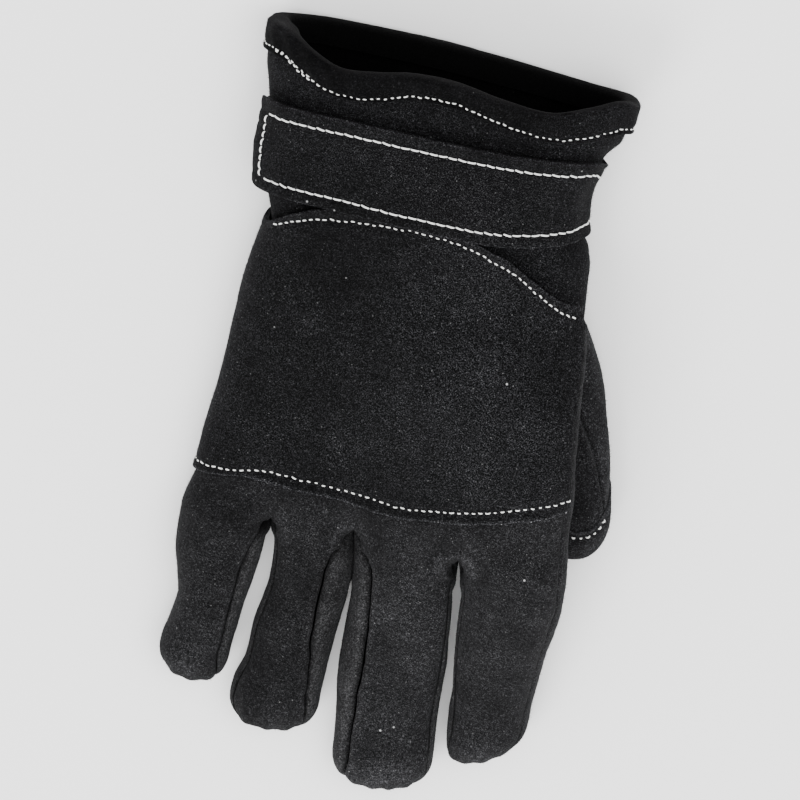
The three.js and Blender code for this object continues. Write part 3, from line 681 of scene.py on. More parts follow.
# %% Suede and thread
def suede(name, dark, light, sheen=0.05):
    """Black split leather: flecks, hairs, patches, lint, soft relief and sheen."""
    material, tree, shader = new_material(name)
    fine, hair, slow, broad = (
        texture(tree, "ShaderNodeTexNoise", "Fac", Scale=scale, Detail=detail, Roughness=rough,
                Distortion=distortion)
        for scale, detail, rough, distortion in ((2700.0, 2.0, 0.6, 0.0), (1250.0, 3.0, 0.65, 0.8),
                                                 (90.0, 4.0, 0.6, 0.0), (18.0, 2.0, 0.5, 0.0)))
    middle = tuple(0.78 * a + 0.22 * b for a, b in zip(dark, light))
    colour = shades(tree, fine, (0.43, dark), (0.53, middle), (0.66, light))
    colour = blend(tree, colour, shades(tree, hair, (0.34, 0.30), (0.50, 0.75), (0.66, 1.8)))
    colour = blend(tree, colour, shades(tree, slow, (0.30, 0.70), (0.70, 1.28)))
    colour = blend(tree, colour, shades(tree, broad, (0.30, 0.66), (0.70, 1.32)))
    for scale, bright, size in ((330.0, 0.14, 0.085), (75.0, 0.5, 0.036)):
        specks = texture(tree, "ShaderNodeTexVoronoi", "Distance", Scale=scale, Randomness=1.0)
        colour = blend(tree, colour, shades(tree, specks, (0.0, bright), (size, 0.0)), "ADD")
    # The vertex tone carries the painted light and shade worked out for each piece.
    tone = tree.nodes.new("ShaderNodeAttribute")
    tone.attribute_name = "tone"
    plug(tree, shader, Base_Color=blend(tree, colour, tone.outputs["Color"]), Roughness=0.95,
         Specular_IOR_Level=0.06, Sheen_Weight=sheen, Sheen_Roughness=0.5,
         Sheen_Tint=(0.30, 0.30, 0.315, 1.0),
         **relief_of(tree, (slow, 0.3, 0.0004), (hair, 0.9, 0.0004), (fine, 0.9, 0.0002)))
    return material


def thread_finish(name, colour):
    """Twisted sewing thread: fine ridges across, and painted shade, a little grey, in the grooves.
    """
    material, tree, shader = new_material(name)
    twist = texture(tree, "ShaderNodeTexNoise", "Fac", Scale=2600.0, Detail=2.0)
    groove = tuple(0.72 * c for c in colour)
    plug(tree, shader, Base_Color=shades(tree, twist, (0.3, groove), (0.65, colour)),
         Roughness=0.6, **relief_of(tree, (twist, 0.6, 0.00012)))
    return material


# %% Finishes of the pieces
BACK_SUEDE = suede("black_suede_back", (0.0002, 0.0002, 0.0004), (0.030, 0.030, 0.032))
FINGER_SUEDE = suede("black_suede_fingers", (0.0045, 0.0045, 0.0048), (0.031, 0.031, 0.033))
CUFF_SUEDE = suede("black_suede_cuff", (0.0002, 0.0002, 0.0004), (0.022, 0.022, 0.0235), 0.03)
STRAP_SUEDE = suede("black_suede_strap", (0.0002, 0.0002, 0.0004), (0.024, 0.024, 0.0255), 0.03)
PALM_SUEDE = suede("black_suede_palm", (0.0042, 0.0042, 0.0045), (0.031, 0.031, 0.033))
GUSSET_SUEDE = suede("black_suede_gusset", (0.0100, 0.0100, 0.0104), (0.045, 0.045, 0.047))
THREAD = thread_finish("white_thread", (0.86, 0.86, 0.84))
PILE = suede("black_hook_pile", (0.004, 0.004, 0.004), (0.016, 0.016, 0.017))
print("finishes:", ", ".join(material.name for material in bpy.data.materials))


def finish_piece(obj, material, slot, *nodes):
    """Material, place in the frame, and the node or nodes that the piece stands for."""
    obj.data.materials.append(material)
    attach(obj, "root")
    if nodes:
        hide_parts(*nodes)


# %% [markdown]
# A stitch is a short length of thread that comes up through one hole and goes down the next. So
# each one is a capsule that arches over the leather and dives at its ends. All the stitches of a
# seam are worked out in one array: places at an even pitch along the seam, each with its own
# small turn, because no machine sews quite evenly.

# %% Stitches
RINGS, SIDES = 9, 6


def stitch_faces():
    """Triangles of one capsule: its rings joined, and a fan over each end."""
    ids = np.arange(RINGS * SIDES).reshape(RINGS, SIDES)
    fan = np.stack([0 * ids[0, 2:], ids[0, 1:-1], ids[0, 2:]], -1)
    wall = triangles(grid_quads(np.pad(ids, ((0, 0), (0, 1)), mode="wrap")))
    return np.concatenate([wall, fan[:, ::-1], fan + ids[-1, 0]])


print("triangles in a stitch:", len(stitch_faces()))


def seam_places(path, up, pitch):
    """Places at an even pitch along a line, with the directions ahead and outwards there."""
    run = run_along(path)
    at = np.arange(pitch / 2, run[-1] - pitch / 2, pitch)

    def read(values, s):
        return np.stack([np.interp(s, run, values[:, k]) for k in range(3)], -1)

    ahead = unit(read(path, at + 0.4) - read(path, at - 0.4))
    top = read(up, at)
    return read(path, at), ahead, unit(top - dot(top, ahead) * ahead)


def sew(name, surface, u, v, seed, pitch=2.4, length=1.9, radius=0.29, arch=0.34, sink=0.45,
        wander=0.12, loose=0.3):
    """Stitches along a curve on a surface given as a function of two parameters and height.

    A stitch's height falls with the cube of the distance from its middle, and its girth with the
    sixth power. It lies a little askew, to one side, and deeper or shorter, each by chance.
    """
    rng = np.random.default_rng(seed)
    path = surface(u, v, 0.0)
    base, ahead, top = seam_places(path, unit(surface(u, v, 1.0) - path), pitch)
    k = len(base)
    turn = rng.normal(0, 0.10, (k, 1)) + 0.10
    ahead = ahead * np.cos(turn) + np.cross(ahead, top) * np.sin(turn)
    side = np.cross(ahead, top)
    base = base + side * rng.normal(0, wander, (k, 1))
    base = base - top * rng.uniform(0, loose, (k, 1))
    half = length * rng.uniform(0.98 - loose, 1.04, (k, 1, 1)) / 2
    along = np.linspace(-1, 1, RINGS)[None, :, None]
    round_it = np.linspace(0, 2 * np.pi, SIDES + 1)[:-1][:, None]
    height = arch * (1 - np.abs(along) ** 3) - sink * np.abs(along) ** 3 * 1.2
    line = base[:, None] + ahead[:, None] * (half * along) + top[:, None] * height
    ring = side[:, None] * np.cos(round_it) + top[:, None] * np.sin(round_it)
    girth = radius * np.sqrt(np.maximum(1 - along ** 6, 0.06))
    points = line[:, :, None] + ring[:, None] * girth[..., None]
    faces = stitch_faces()[None] + RINGS * SIDES * np.arange(k)[:, None, None]
    obj = mesh_object(name, points.reshape(-1, 3), faces.reshape(-1, 3))
    obj.data.materials.append(THREAD)
    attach(obj, "root")


# %% [markdown]
# The back patch is one piece of suede sewn over the back of the hand. Its cut edges lie loose
# outside the stitching: the thread pulls the leather down into a fine furrow, and the margin
# beyond it lifts a little and throws the thin shadow that outlines the patch.

# %% The edges of a sewn layer
def furrow(distance, width=1.1, depth=0.42):
    """Narrow trough that the thread pulls into the leather."""
    return -depth * bell(distance, width)


def ragged(x, size, seed):
    """Small waver of a cut edge."""
    return size * noise(x, seed, 3.0, 5.0) + 0.5 * size * noise(x, 9.0, seed, 1.6)


def cut_edge_fuzz_and_highlight(distance):
    """Pale fuzz of a cut edge with a painted highlight on it, and a darker line inside it."""
    return 1 + 3.2 * bell(distance, 0.5) - 0.25 * bell(distance - 2, 1)


# %% Back patch
PATCH_RIGHT, PATCH_LEFT = 20.0, 200.0
TOP_MARGIN, LOW_MARGIN = 4.2, 3.6
PATCH_TOP = table(
    "x y", [-60, 61], [-53, 64], [-46, 68.6], [-36, 73.5], [-25, 75.5], [-11, 76], [3, 75],
    [15, 72.4], [24, 68.3], [30, 65.4], [37, 59.9], [45, 54.1], [52, 50.8], [62, 49.5])
PATCH_LOW = table(
    "x y", [-66, -29.4], [-52, -28], [-40, -25.6], [-28, -26.2], [5, -27.8], [15, -26.1],
    [28, -22.9], [45, -17.5], [57, -14.6], [66, -12])


def patch_relief(x, y, z):
    """Dents, the furrows of both seams, puckers between the stitches and the lifted margins."""
    above = y - (curve(PATCH_TOP, x) - TOP_MARGIN)
    below = (curve(PATCH_LOW, x) + LOW_MARGIN) - y
    pucker = 0.10 * np.cos(2 * np.pi * x / 3.1)
    total = dents(x, y, z, 0.8) + creases(x, y)
    loose = smooth((x + 55) / 9) * smooth((60 - x) / 9)
    for d, press in ((above, 1.2), (below, 0.3)):
        total += furrow(d) + pucker * bell(d, 2.6)
        total += mix(-press, 0.65, loose) * smooth((d - 0.8) / 3.0)
    return total


def patch_surface(y, deg, height):
    """The hand's surface raised by the gap, the layer, its relief and a height."""
    relief = patch_relief(*xyz(hand(y, deg, -(GAP + LAYER))))
    return hand(y, deg, -(GAP + LAYER + relief + height))


def make_back_patch():
    """Rows of stations between the two ragged edges, then the stitches a margin inside them."""
    deg = even_angles(PATCH_RIGHT, PATCH_LEFT, 170)
    x = hand_x(deg)
    y = rows_between(curve(PATCH_LOW, x) + ragged(x, 0.5, 2.0),
                     station_of(x, curve(PATCH_TOP, x) + ragged(x, 0.25, 5.0)), 130)
    tone = cut_edge_fuzz_and_highlight(y - y[:1]) * (0.7 + 0.3 * cut_edge_fuzz_and_highlight(y[-1:] - y))
    obj = leather_mesh("suede_back_patch",
                       (patch_surface(y, deg, 0.0), patch_surface(y, deg, -LAYER), tone))
    finish_piece(obj, BACK_SUEDE, "back_suede", "back_patch")
    x = np.linspace(-47.5, 52.5, 420)
    y = station_of(x, curve(PATCH_TOP, x) - TOP_MARGIN)
    sew("stitch_patch_upper", patch_surface, y, back_angle(x, y), 3, length=2.1, radius=0.26)
    x = np.linspace(-63.0, 59.5, 420)
    y = curve(PATCH_LOW, x) + LOW_MARGIN
    sew("stitch_patch_knuckle", patch_surface, y, back_angle(x, y), 4, pitch=2.58, length=2.1,
        radius=0.25)


make_back_patch()

# %% [markdown]
# Finger backs and knuckle strip are cut as one comb, and so is the palm with the finger fronts.
# They are sewn inside out and turned, so the seams don't show a thread: both leathers roll over
# into the join and leave a soft dark line. The grid of each finger runs from the tip to the
# crotch, and its root goes on over the hand.

# %% Where the long seams run
GUSSET_ENDS, SIDE_ENDS = 62.0, 95.0
OUTER_SEAM, INNER_SEAM = 188.0, 32.0
APEX_DEG, SWING_FROM, SWING_OVER = 22.0, 2.0, 11.0


def tip_turns(count):
    """Turns over a rounded tip, from its end to where it runs straight."""
    return 90 * (1 - np.linspace(0, 1, count)[:-1] ** 0.9)


def finger_rows(i):
    """Stations from the tip to the crotch, as y and the turn over the tip."""
    start = FINGERS[i]["tip"] + FINGERS[i]["cap"]
    end = CROTCH - CROTCH_R * 1.5
    turns = tip_turns(16)
    straight = np.linspace(start, end, int((end - start) / 1.1))
    close = CROTCH - CROTCH_R * np.array([1.2, 0.95, 0.72, 0.52, 0.35, 0.21, 0.11, 0.04, 0.0])
    y0 = np.concatenate([np.full(len(turns), start), straight, close])
    return y0, np.concatenate([turns, np.zeros(len(straight) + len(close))])


def seam_angle(full, turn, runs_out):
    """A seam's angle, which closes to nothing where it runs out over the tip."""
    return full * (1 - clamp01(turn / runs_out) ** 2)


def upper_seam(i, y0, turn, side):
    """Angle of a gusset's upper seam: from its table, or swinging from the crotch to its own."""
    own = FINGERS[i]["seams"][side]
    if isinstance(own, dict):
        return seam_angle(curve(own, y0), turn, GUSSET_ENDS)
    away = np.where(turn > 0, 1.0, smooth((CROTCH - SWING_FROM - y0) / SWING_OVER))
    return seam_angle(mix(APEX_DEG, own, away), turn, GUSSET_ENDS)


def side_angles(i, y0, turn, palm):
    """Angles of the two long edges of a finger's back or palm strip in each row."""
    gusset = seam_angle(GUSSET_DEG, turn, GUSSET_ENDS)
    inner = seam_angle(INNER_SEAM, turn, SIDE_ENDS)
    outer = seam_angle(180 - OUTER_SEAM, turn, SIDE_ENDS)
    gap = np.minimum(10.0, SEAM_DEG / np.maximum(0.1, cosd(turn)))
    if palm:
        right = (-gusset if i < 3 else inner) - gap
        return right, -180 - (-gusset if i > 0 else outer) + gap
    right = (upper_seam(i, y0, turn, 0) if i < 3 else inner) + gap
    return right, 180 - (upper_seam(i, y0, turn, 1) if i > 0 else outer) - gap


print("rows on each finger:", [len(finger_rows(i)[0]) for i in range(4)])

# %% Rolled seams
INSEAM_R, INSEAM_DEPTH = 1.9, 0.75


def rolled(edge):
    """Quarter circle: nothing further than the radius from an edge, full depth at the edge."""
    t = clamp01(1 - edge / INSEAM_R)
    return INSEAM_DEPTH * INSEAM_R * (1 - np.sqrt(1 - t * t))


def seam_shade_and_highlight(edge):
    """Painted shade in the join, and a painted highlight on the roll beside it."""
    return 1 - 0.4 * bell(edge, 0.9) + 0.45 * bell(edge - 2.0, 1.2)


def to_sides(points):
    """Distance along each row of a grid to its first and to its last column."""
    run = run_along(points)
    return run, run[:, -1:] - run


def to_crotch(points):
    """Distance to the nearest crotch, seen from above."""
    return np.min([np.hypot(points[..., 0] - cx, points[..., 1] - CROTCH) for cx in CROTCH_X],
                  axis=0)


# %% A comb of four fingers
def strip_grid(i, palm, off, shares, relief):
    """Outer points, inner points and tones of one finger of a comb."""
    y0, turn = (row[:, None] for row in finger_rows(i))
    right, left = side_angles(i, y0, turn, palm)
    deg = mix(right, left, shares)
    flat = finger(i, y0, turn, deg)
    from_right, from_left = to_sides(flat)
    edge = np.minimum(from_right, from_left)
    shown = (0.2 if i == 3 else 1.0, 0.2 if i == 0 else 1.0) if palm else FINGERS[i]["shown"]
    sewn = np.where(from_right < from_left, shown[0], shown[1])
    fade = smooth((CROTCH + 0.5 - y0) / 2.5)
    bumps = relief(*xyz(flat)) * cosd(turn) ** 0.5
    bumps = np.where(turn >= 89.9, 0.0, bumps)
    inset = rolled(edge) * sewn * mix(smooth(1 - to_crotch(flat) / 3.0), 1.0, fade) - bumps
    outer = finger(i, y0, turn, deg, inset, off)
    inner = finger(i, y0, turn, deg, np.maximum(inset, 0) * 0.3 + LEATHER, off)
    return outer, inner, mix(1.0, seam_shade_and_highlight(edge), fade * sewn)


def root_grid(i, palm, shares, y, relief):
    """The comb's root: from the crotch line to the panel's end."""
    right, left = side_angles(i, CROTCH, np.array(0.0), palm)
    deg = mix(right, left, shares)[None, :]
    flat = lane(i, y, deg)
    edge = np.full(flat.shape[:2], 50.0)
    for side, at in zip(to_sides(flat), (3, 0)):
        edge = np.minimum(edge, side) if i == at else edge
    d = to_crotch(flat)
    inset = np.maximum(rolled(edge) * 0.2, rolled(d)) - relief(*xyz(flat))
    # Painted shade in each crotch pocket, with a painted highlight round it.
    return lane(i, y, deg, inset), lane(i, y, deg, LEATHER + 0 * inset), seam_shade_and_highlight(d)


def comb(palm, columns, end, rows, power, off, relief):
    """Grids of four strips with their roots; end gives each root's last station at x."""
    grids = []
    for i, count in enumerate(columns):
        right, left = side_angles(i, CROTCH, np.array(0.0), palm)
        t = np.linspace(0, 1, 800)
        run = run_along(finger(i, CROTCH - 20.0, 0.0, mix(right, left, t)))
        shares = np.interp(np.linspace(0, run[-1], count), run, t)
        x = lane(i, 30.0, mix(right, left, shares))[..., 0]
        root = root_grid(i, palm, shares, rows_between(CROTCH, end(x), rows, power), relief)
        strip = strip_grid(i, palm, off, shares, relief)
        for mine, shared in zip(strip, root):
            mine[-1] = shared[0]
        grids += [strip, root]
    return grids


# %% Finger backs
PATCH_LAP = 8.0
TIP_GAP = 0.4


def finger_relief(x, y, z):
    """Dents, single creases, a fold round each crotch and gathers at the tips."""
    return dents(x, y, z, 0.9) + crotch_folds(x, y) + creases(x, y) + fingertip_folds(x, y)


grids = comb(False, (32, 32, 32, 32), lambda x: curve(PATCH_LOW, x) + PATCH_LAP, 26, 1.15,
             TIP_GAP, finger_relief)
finish_piece(leather_mesh("suede_finger_backs", *grids), FINGER_SUEDE, "back_suede",
             "finger_back")

# %% [markdown]
# The palm wraps up round both sides of the hand to meet the finger backs, and the thumb is sewn
# into it. Under the palm the leather lies flat on the table, so dents fade out where it touches.

# %% Palm
def cuff_end(x):
    """Station of the seam between palm and cuff."""
    return mix(58.0, 42.0, clamp01((x + 54) / 111))


def palm_relief(x, y, z):
    """Dents that fade out where the palm lies on the surface."""
    return (dents(x, y, z, 0.9) + fingertip_folds(x, y)) * smooth((z - 1.0) / 5.0)


grids = comb(True, (34, 24, 24, 40), lambda x: cuff_end(x) - 2 * GAP, 76, 1.08, 0.0,
             palm_relief)
finish_piece(leather_mesh("suede_palm", *grids), PALM_SUEDE, "palm_suede", "palm_panel")

# %% [markdown]
# Between two fingers runs a gusset, a narrow strip that gives them depth: down the side of one
# finger, round the crotch, and down the side of the next. Its two long edges roll into the
# seams, so from the front it shows as a slim wall beside the finger. Just below the crotch the
# two walls swell until they nearly meet.

# %% Gussets
CLOSED_BELOW = table("reach swell shade fill_right fill_left", [4.0, 1.0, 0.6, 0.35, 0.35],
                     [17.0, 0.62, 0.3, 0.35, 0.35], [9.5, 0.95, 0.6, -0.35, -0.75])


def gusset_side(n, side):
    """One half of a gusset, on the right (0) or left (1) side of finger n."""
    y0, turn = (row[:, None] for row in finger_rows(n))
    y0, turn = y0[turn[:, 0] <= 58], turn[turn[:, 0] <= 58]
    reach, swell, shade, *fills = (column[n - side] for column in CLOSED_BELOW.values())
    shown = FINGERS[n]["shown"][side]
    low = np.maximum(2.0, seam_angle(GUSSET_DEG, turn, GUSSET_ENDS) - SEAM_DEG)
    top = np.maximum(2.0, upper_seam(n, y0, turn, side) - 2 * SEAM_DEG)
    share = np.linspace(0, 1, 17)[None, :]
    t = 2 * share - 1
    deg = mix(180 + low, 180 - top, share) if side else mix(-low, top, share)
    flat = finger(n, y0, turn, deg)
    a, b = to_sides(flat)
    inset = np.maximum(rolled(a), rolled(b) * shown)
    closed = swell * smooth((y0 - CROTCH + reach + 4) / 4) * smooth((CROTCH - y0) / 1.5)
    fill = mix(0.35, fills[side], smooth((y0 + (104 if side else 86)) / 12))
    bumps = dents(*xyz(flat), 0.4) + fill * (1 - t * t)
    inset = inset - bumps * smooth((CROTCH - y0) / 4) - closed * (1 - t ** 4)
    # Painted shade deep in the gusset, growing towards the crotch.
    deep = 1 - shade * smooth((y0 - CROTCH + 12) / 10)
    return (finger(n, y0, turn, deg, inset), finger(n, y0, turn, deg, LEATHER + 0 * inset),
            seam_shade_and_highlight(a) * mix(1.0, seam_shade_and_highlight(b), shown) * deep)


for i, between in enumerate(("pinky_ring", "ring_middle", "middle_index")):
    grid = [np.concatenate([down, up[::-1][1:]])
            for down, up in zip(gusset_side(i, 0), gusset_side(i + 1, 1))]
    finish_piece(leather_mesh("suede_gusset_" + between, grid, hair=0.5), GUSSET_SUEDE,
                 "gusset_suede", "gusset_" + between)

# %% [markdown]
# The cuff is a plain tube of the same suede, soft enough to dent. Below, its edge dips under the
# back patch. Above, it ends inside the turned hem. The strap pulls it in where it is sewn on.

# %% Cuff
TUCK = 1.5
STRAP_TOP = table("x y", [-62, 107], [-28, 107.4], [-1, 105.8], [27, 103.4], [41, 102.4],
                  [62, 101])
STRAP_LOW = table("x y", [-62, 76], [-45, 75.5], [-28, 75.2], [-8, 73.4], [8, 72], [24, 70.9],
                  [44, 71.8], [62, 73.6])


def strap_press(x, y, deg):
    """How far the strap pulls the cuff in at the side where it is sewn on."""
    turned = np.mod(deg + 180, 360) - 180
    side = smooth((34 - turned) / 20) * smooth((turned + 60) / 20)
    inside = smooth((curve(STRAP_TOP, x) + 6 - y) / 6) * smooth((y - curve(STRAP_LOW, x) + 6) / 6)
    return 1.4 * side * inside


def make_cuff():
    """Rows from the wrist seam to the rim; the lowest 18 mm taper inwards to pass underneath."""
    deg = np.append(even_angles(0, 360, 221, 100.0)[:-1], 360.0)
    x = hand_x(deg)
    over = smooth(sind(deg) * 4) * (sind(deg) > 0)
    low = station_of(x, mix(cuff_end(x), curve(PATCH_TOP, x) - PATCH_LAP, over))
    y = rows_between(low, RIM, 80)
    tuck = TUCK * clamp01(1 - (y - low) / 18)
    x, at, z = xyz(hand(y, deg))
    bumps = dents(x, at, z, 0.9) - strap_press(x, at, deg)
    bumps = bumps * smooth((RIM - y) / 10) * (1 - clamp01(tuck))
    grid = tube(hand(y, deg, tuck - bumps), hand(y, deg, tuck + LEATHER - np.minimum(bumps, 0)))
    finish_piece(leather_mesh("suede_cuff", grid), CUFF_SUEDE, "cuff_suede", "cuff")


make_cuff()

# %% [markdown]
# The rim is finished by turning the leather over itself. In section the hem is a hairpin: a
# short leg inside, a round fold over the edge, and a long leg outside with its raw edge loose
# below the stitching. Carrying that hairpin round the cuff gives the soft, thick lip.

# %% Cuff hem
HEM_OUT, HEM_FOLD, HEM_EDGE = 11.8, 7.0, 1.8
HEM_SEAM = table(
    "x below_rim", [-60, 6.6], [-54, 6.2], [-49, 6.8], [-44, 8.0], [-37, 9.4], [-27, 9.5],
    [-18, 7.8], [-9, 5.4], [4, 4.9], [16, 6.0], [26, 7.6], [38, 9.2], [47, 9.2], [55, 7.8],
    [62, 6.8])


def hem_profile():
    """Hairpin: distance along the cuff as a share of its outer leg, and distance out."""
    o, w = GAP + LAYER, LEATHER + GAP
    outside = [(-HEM_OUT + 0.1, o - 0.25), (-HEM_OUT + 0.5, o)]
    outside += [(-k, o) for k in np.linspace(HEM_OUT - 1.0, 1.5, 16)]
    mid, radius = -LEATHER / 2, (LEATHER + 2 * o) / 2
    arc = [(1.9 * math.cos(a), mid + radius * math.sin(a))
           for a in np.linspace(math.pi / 2, -math.pi / 2, 13)]
    inside = [(-k, -LEATHER - o) for k in np.linspace(1.5, HEM_FOLD, 5)]
    back = [(-HEM_FOLD, -w)] + [(-k, -w) for k in np.linspace(HEM_FOLD - 1, 0.8, 4)]
    back += [(GAP * 0.7, -w + 0.5), (GAP * 0.7, -0.2), (-0.6, GAP)]
    back += [(-k, GAP) for k in np.linspace(2.0, HEM_OUT, 6)]
    return np.array(outside + arc + inside + back)


def hem_relief(x, y, z, along):
    """Soft lip: dents, a furrow at the seam and folds where the turned leather gathers."""
    seam = along + curve(HEM_SEAM, x)
    gather = 0.3 * np.cos(2 * np.pi * (x + 0.4 * along) / 7.5 + noise(x, y, z, 14.0))
    soft = dents(x, y, z, 1.2) + creases(x, y) + gather * bell(along + 5, 5.0)
    pucker = 0.14 * np.cos(2 * np.pi * x / 2.4) * bell(seam, 2.2)
    return soft + pucker + furrow(seam, 1.0, 0.4) + 0.35 * smooth(-seam / 2)


def hem_surface(y, deg, height):
    """The cuff's surface raised by the gap, the layer, the hem's relief and a height."""
    relief = hem_relief(*xyz(hand(y, deg, -(GAP + LAYER))), y - RIM)
    return hand(y, deg, -(GAP + LAYER + relief + height))


# %% Carrying the hem round the rim
def outward(points, faces):
    """Unit normal of a closed mesh at each of its points."""
    faces = facing_out(points, faces)
    a, b, c = (points[faces[:, k]] for k in range(3))
    normal = np.zeros_like(points)
    for k in range(3):
        np.add.at(normal, faces[:, k], np.cross(b - a, c - a))
    return unit(normal)


def make_hem():
    """The hairpin at each angle, its outer leg stretched to the seam and thicker at one corner."""
    share, out = (column[:, None] for column in hem_profile().T)
    deg = even_angles(0, 360, 261, 120.0)[:-1]
    length = curve(HEM_SEAM, hand(RIM, deg)[..., 0]) + HEM_EDGE
    along = np.where((share < 0) & (out > 0), share * length / HEM_OUT, share)
    corner = 4.2 * bell(deg - 170, 17)
    out = out - corner * smooth((-out - 0.9) / 1.4)
    base = xyz(hand(RIM + along, deg, -out))
    swell = smooth((out + LEATHER + 0.2) / 1.5) * (out > GAP + 0.2)
    grid = hand(RIM + along, deg, -(out + hem_relief(*base, along) * swell))
    # Painted shade (0.04) on the inner leg and the inside of the fold, down in the cuff's opening.
    # The outer leg's tone rises towards the thumb side and is mottled at random.
    outer_hem_tone = 0.42 + 0.35 * smooth((base[0] - 10) / 40) + 0.3 * noise(*base, 9.0)
    tone = mix(0.04, outer_hem_tone, smooth((out + 0.6 + 0.8 * corner) / 1.6))
    tone = np.where((share < 0) & (out < GAP + 0.2), 0.04, tone).ravel()
    ids = np.arange(tone.size).reshape(out.shape)
    tri = triangles(grid_quads(np.pad(ids, ((0, 1), (0, 1)), mode="wrap")))
    points = grid.reshape(-1, 3)
    shown = (out.ravel() > GAP + 0.2)[tri].all(axis=1)
    hairs, hair_faces, hair_tones = nap(points, points - outward(points, tri), tri[shown], tone,
                                        seed=5)
    obj = mesh_object("suede_cuff_hem", np.concatenate([points, hairs]),
                      np.concatenate([facing_out(points, tri), hair_faces + len(points)]),
                      np.concatenate([tone, hair_tones]))
    finish_piece(obj, CUFF_SUEDE, "cuff_suede", "cuff_hem")


def sew_hem(name, deg, lower, seed, **how):
    """Stitches along the hem's seam, or a little lower."""
    y = RIM - lower - curve(HEM_SEAM, hand(RIM, deg)[..., 0])
    sew(name, hem_surface, y, deg, seed, **how)


make_hem()
sew_hem("stitch_hem", np.linspace(-3, 183, 700), 0.0, 8, pitch=2.38, length=1.95, radius=0.24)
sew_hem("stitch_hem_lock", np.linspace(133, 158, 120), 0.5, 9, pitch=2.1, radius=0.26)

# %% [markdown]
# The wrist strap is a firm band of doubled suede over the cuff. A line of stitches runs along
# both edges and across its free end. It stands a little off the cuff, so it throws a shadow.

# %% The strap's surface
STRAP_FREE_END, STRAP_SEWN_END, STRAP_END_DEG = 172.0, -148.0, 13.0
STRAP_MARGIN_TOP, STRAP_MARGIN_LOW = 5.0, 4.2
STRAP_CORNER, STRAP_MM_PER_DEG = 3.0, 0.28
STRAP_OFF = table("angle off", [-150, 0.3], [-50, 0.3], [-20, 0.9], [22, 0.9], [56, 2.3],
                  [112, 2.3], [152, 3.6], [180, 3.6])


def strap_offset(x, y, deg):
    """Stand-off from the hand's surface: close at the sewn side, and at the free top corner."""
    low, top = curve(STRAP_LOW, x), curve(STRAP_TOP, x)
    hug = 0.8 * smooth((deg - 140) / 25) * clamp01(((y - low) / (top - low) - 0.45) / 0.5)
    off = np.maximum(GAP, curve(STRAP_OFF, deg)) * (1 - hug)
    return np.maximum(off, GAP) - strap_press(x, y, deg)


def strap_fall(deg):
    """How far the upper edge falls towards the sewn side."""
    return 4.5 * smooth((30 - deg) / 40)


def strap_relief(x, y, z):
    """Shallow dents, and at both edges a furrow and a lifted margin."""
    total = dents(x, y, z, 0.55)
    for d in (y - (curve(STRAP_TOP, x) - STRAP_MARGIN_TOP),
              curve(STRAP_LOW, x) + STRAP_MARGIN_LOW - y):
        total += furrow(d, 1.0, 0.34) + 0.25 * smooth((d - 0.8) / 3)
    return total


def strap_surface(y, deg, height):
    """The cuff's surface raised by the stand-off, the strap, its relief and a height."""
    x, at, _ = xyz(hand(y, deg))
    off = strap_offset(x, at, deg) + STRAP
    return hand(y, deg, -(off + strap_relief(*xyz(hand(y, deg, -off))) + height))


# %% Wrist strap
def make_strap():
    """The band between its two edges, with rounded corners at its free end."""
    deg = even_angles(STRAP_SEWN_END, STRAP_FREE_END, 240, 90.0)
    x = hand_x(deg)
    ahead = np.maximum(0.0, 1 - (STRAP_FREE_END - deg) * STRAP_MM_PER_DEG / STRAP_CORNER)
    corner = STRAP_CORNER * (1 - np.sqrt(1 - np.minimum(ahead, 1.0) ** 2))
    low = station_of(x, curve(STRAP_LOW, x) + corner + ragged(x, 0.15, 7.0))
    top = curve(STRAP_TOP, x) - corner - strap_fall(deg) + ragged(x, 0.15, 8.0)
    y = rows_between(low, station_of(x, top), 44)
    tone = 0.6 + 0.4 * cut_edge_fuzz_and_highlight(np.minimum(y - y[:1], y[-1:] - y))
    obj = leather_mesh("suede_wrist_strap",
                       (strap_surface(y, deg, 0.0), strap_surface(y, deg, -STRAP), tone))
    finish_piece(obj, STRAP_SUEDE, "strap_suede", "wrist_strap")


def sew_strap():
    """Rows along both edges, and one across the free end."""
    how = dict(arch=0.36, sink=0.3, wander=0.04)
    end = STRAP_FREE_END - STRAP_END_DEG
    deg = np.linspace(-30.0, end, 600)
    x = hand_x(deg)
    top = curve(STRAP_TOP, x) - STRAP_MARGIN_TOP - strap_fall(deg)
    low = curve(STRAP_LOW, x) + STRAP_MARGIN_LOW
    for name, edge, seed in (("stitch_strap_upper", top, 11), ("stitch_strap_lower", low, 12)):
        sew(name, strap_surface, station_of(x, edge), deg, seed, pitch=3.17, length=3.5,
            radius=0.3, loose=0.05, **how)
    low_end, top_end = (float(station_of(x[-1], edge[-1])) for edge in (low, top))
    sew("stitch_strap_end", strap_surface, np.linspace(low_end, top_end, 60), np.full(60, end),
        13, pitch=2.7, length=2.9, loose=0.08, **how)


make_strap()
sew_strap()

# %% [markdown]
# Under the free end a pad of hook-and-loop tape holds the strap to the cuff. Almost nothing of
# it shows, so it is a plain thin layer.

# %% Strap pad
PAD_END = 138.0


def make_pad():
    """A band from the cuff up to the strap's under side, 5 mm inside the strap's edges."""
    deg = even_angles(PAD_END, STRAP_FREE_END - 4, 24, 90.0)
    x = hand_x(deg)
    y = rows_between(station_of(x, curve(STRAP_LOW, x) + 5),
                     station_of(x, curve(STRAP_TOP, x) - 5), 24)
    x, at, _ = xyz(hand(y, deg))
    outer = hand(y, deg, -np.maximum(strap_offset(x, at, deg) - GAP, GAP + 0.1))
    obj = leather_mesh("strap_hook_tape", (outer, hand(y, deg, -GAP), np.ones(y.shape)))
    finish_piece(obj, PILE, "pad_webbing", "strap_hook_pad")


make_pad()

# %% [markdown]
# The thumb is its own tube of leather, sewn into the palm. A seam runs up its outer side, which
# shows as a dark line with a raised ridge beside it. Each line of the grid stops where it meets
# the palm, so the tube ends on the hand's surface.

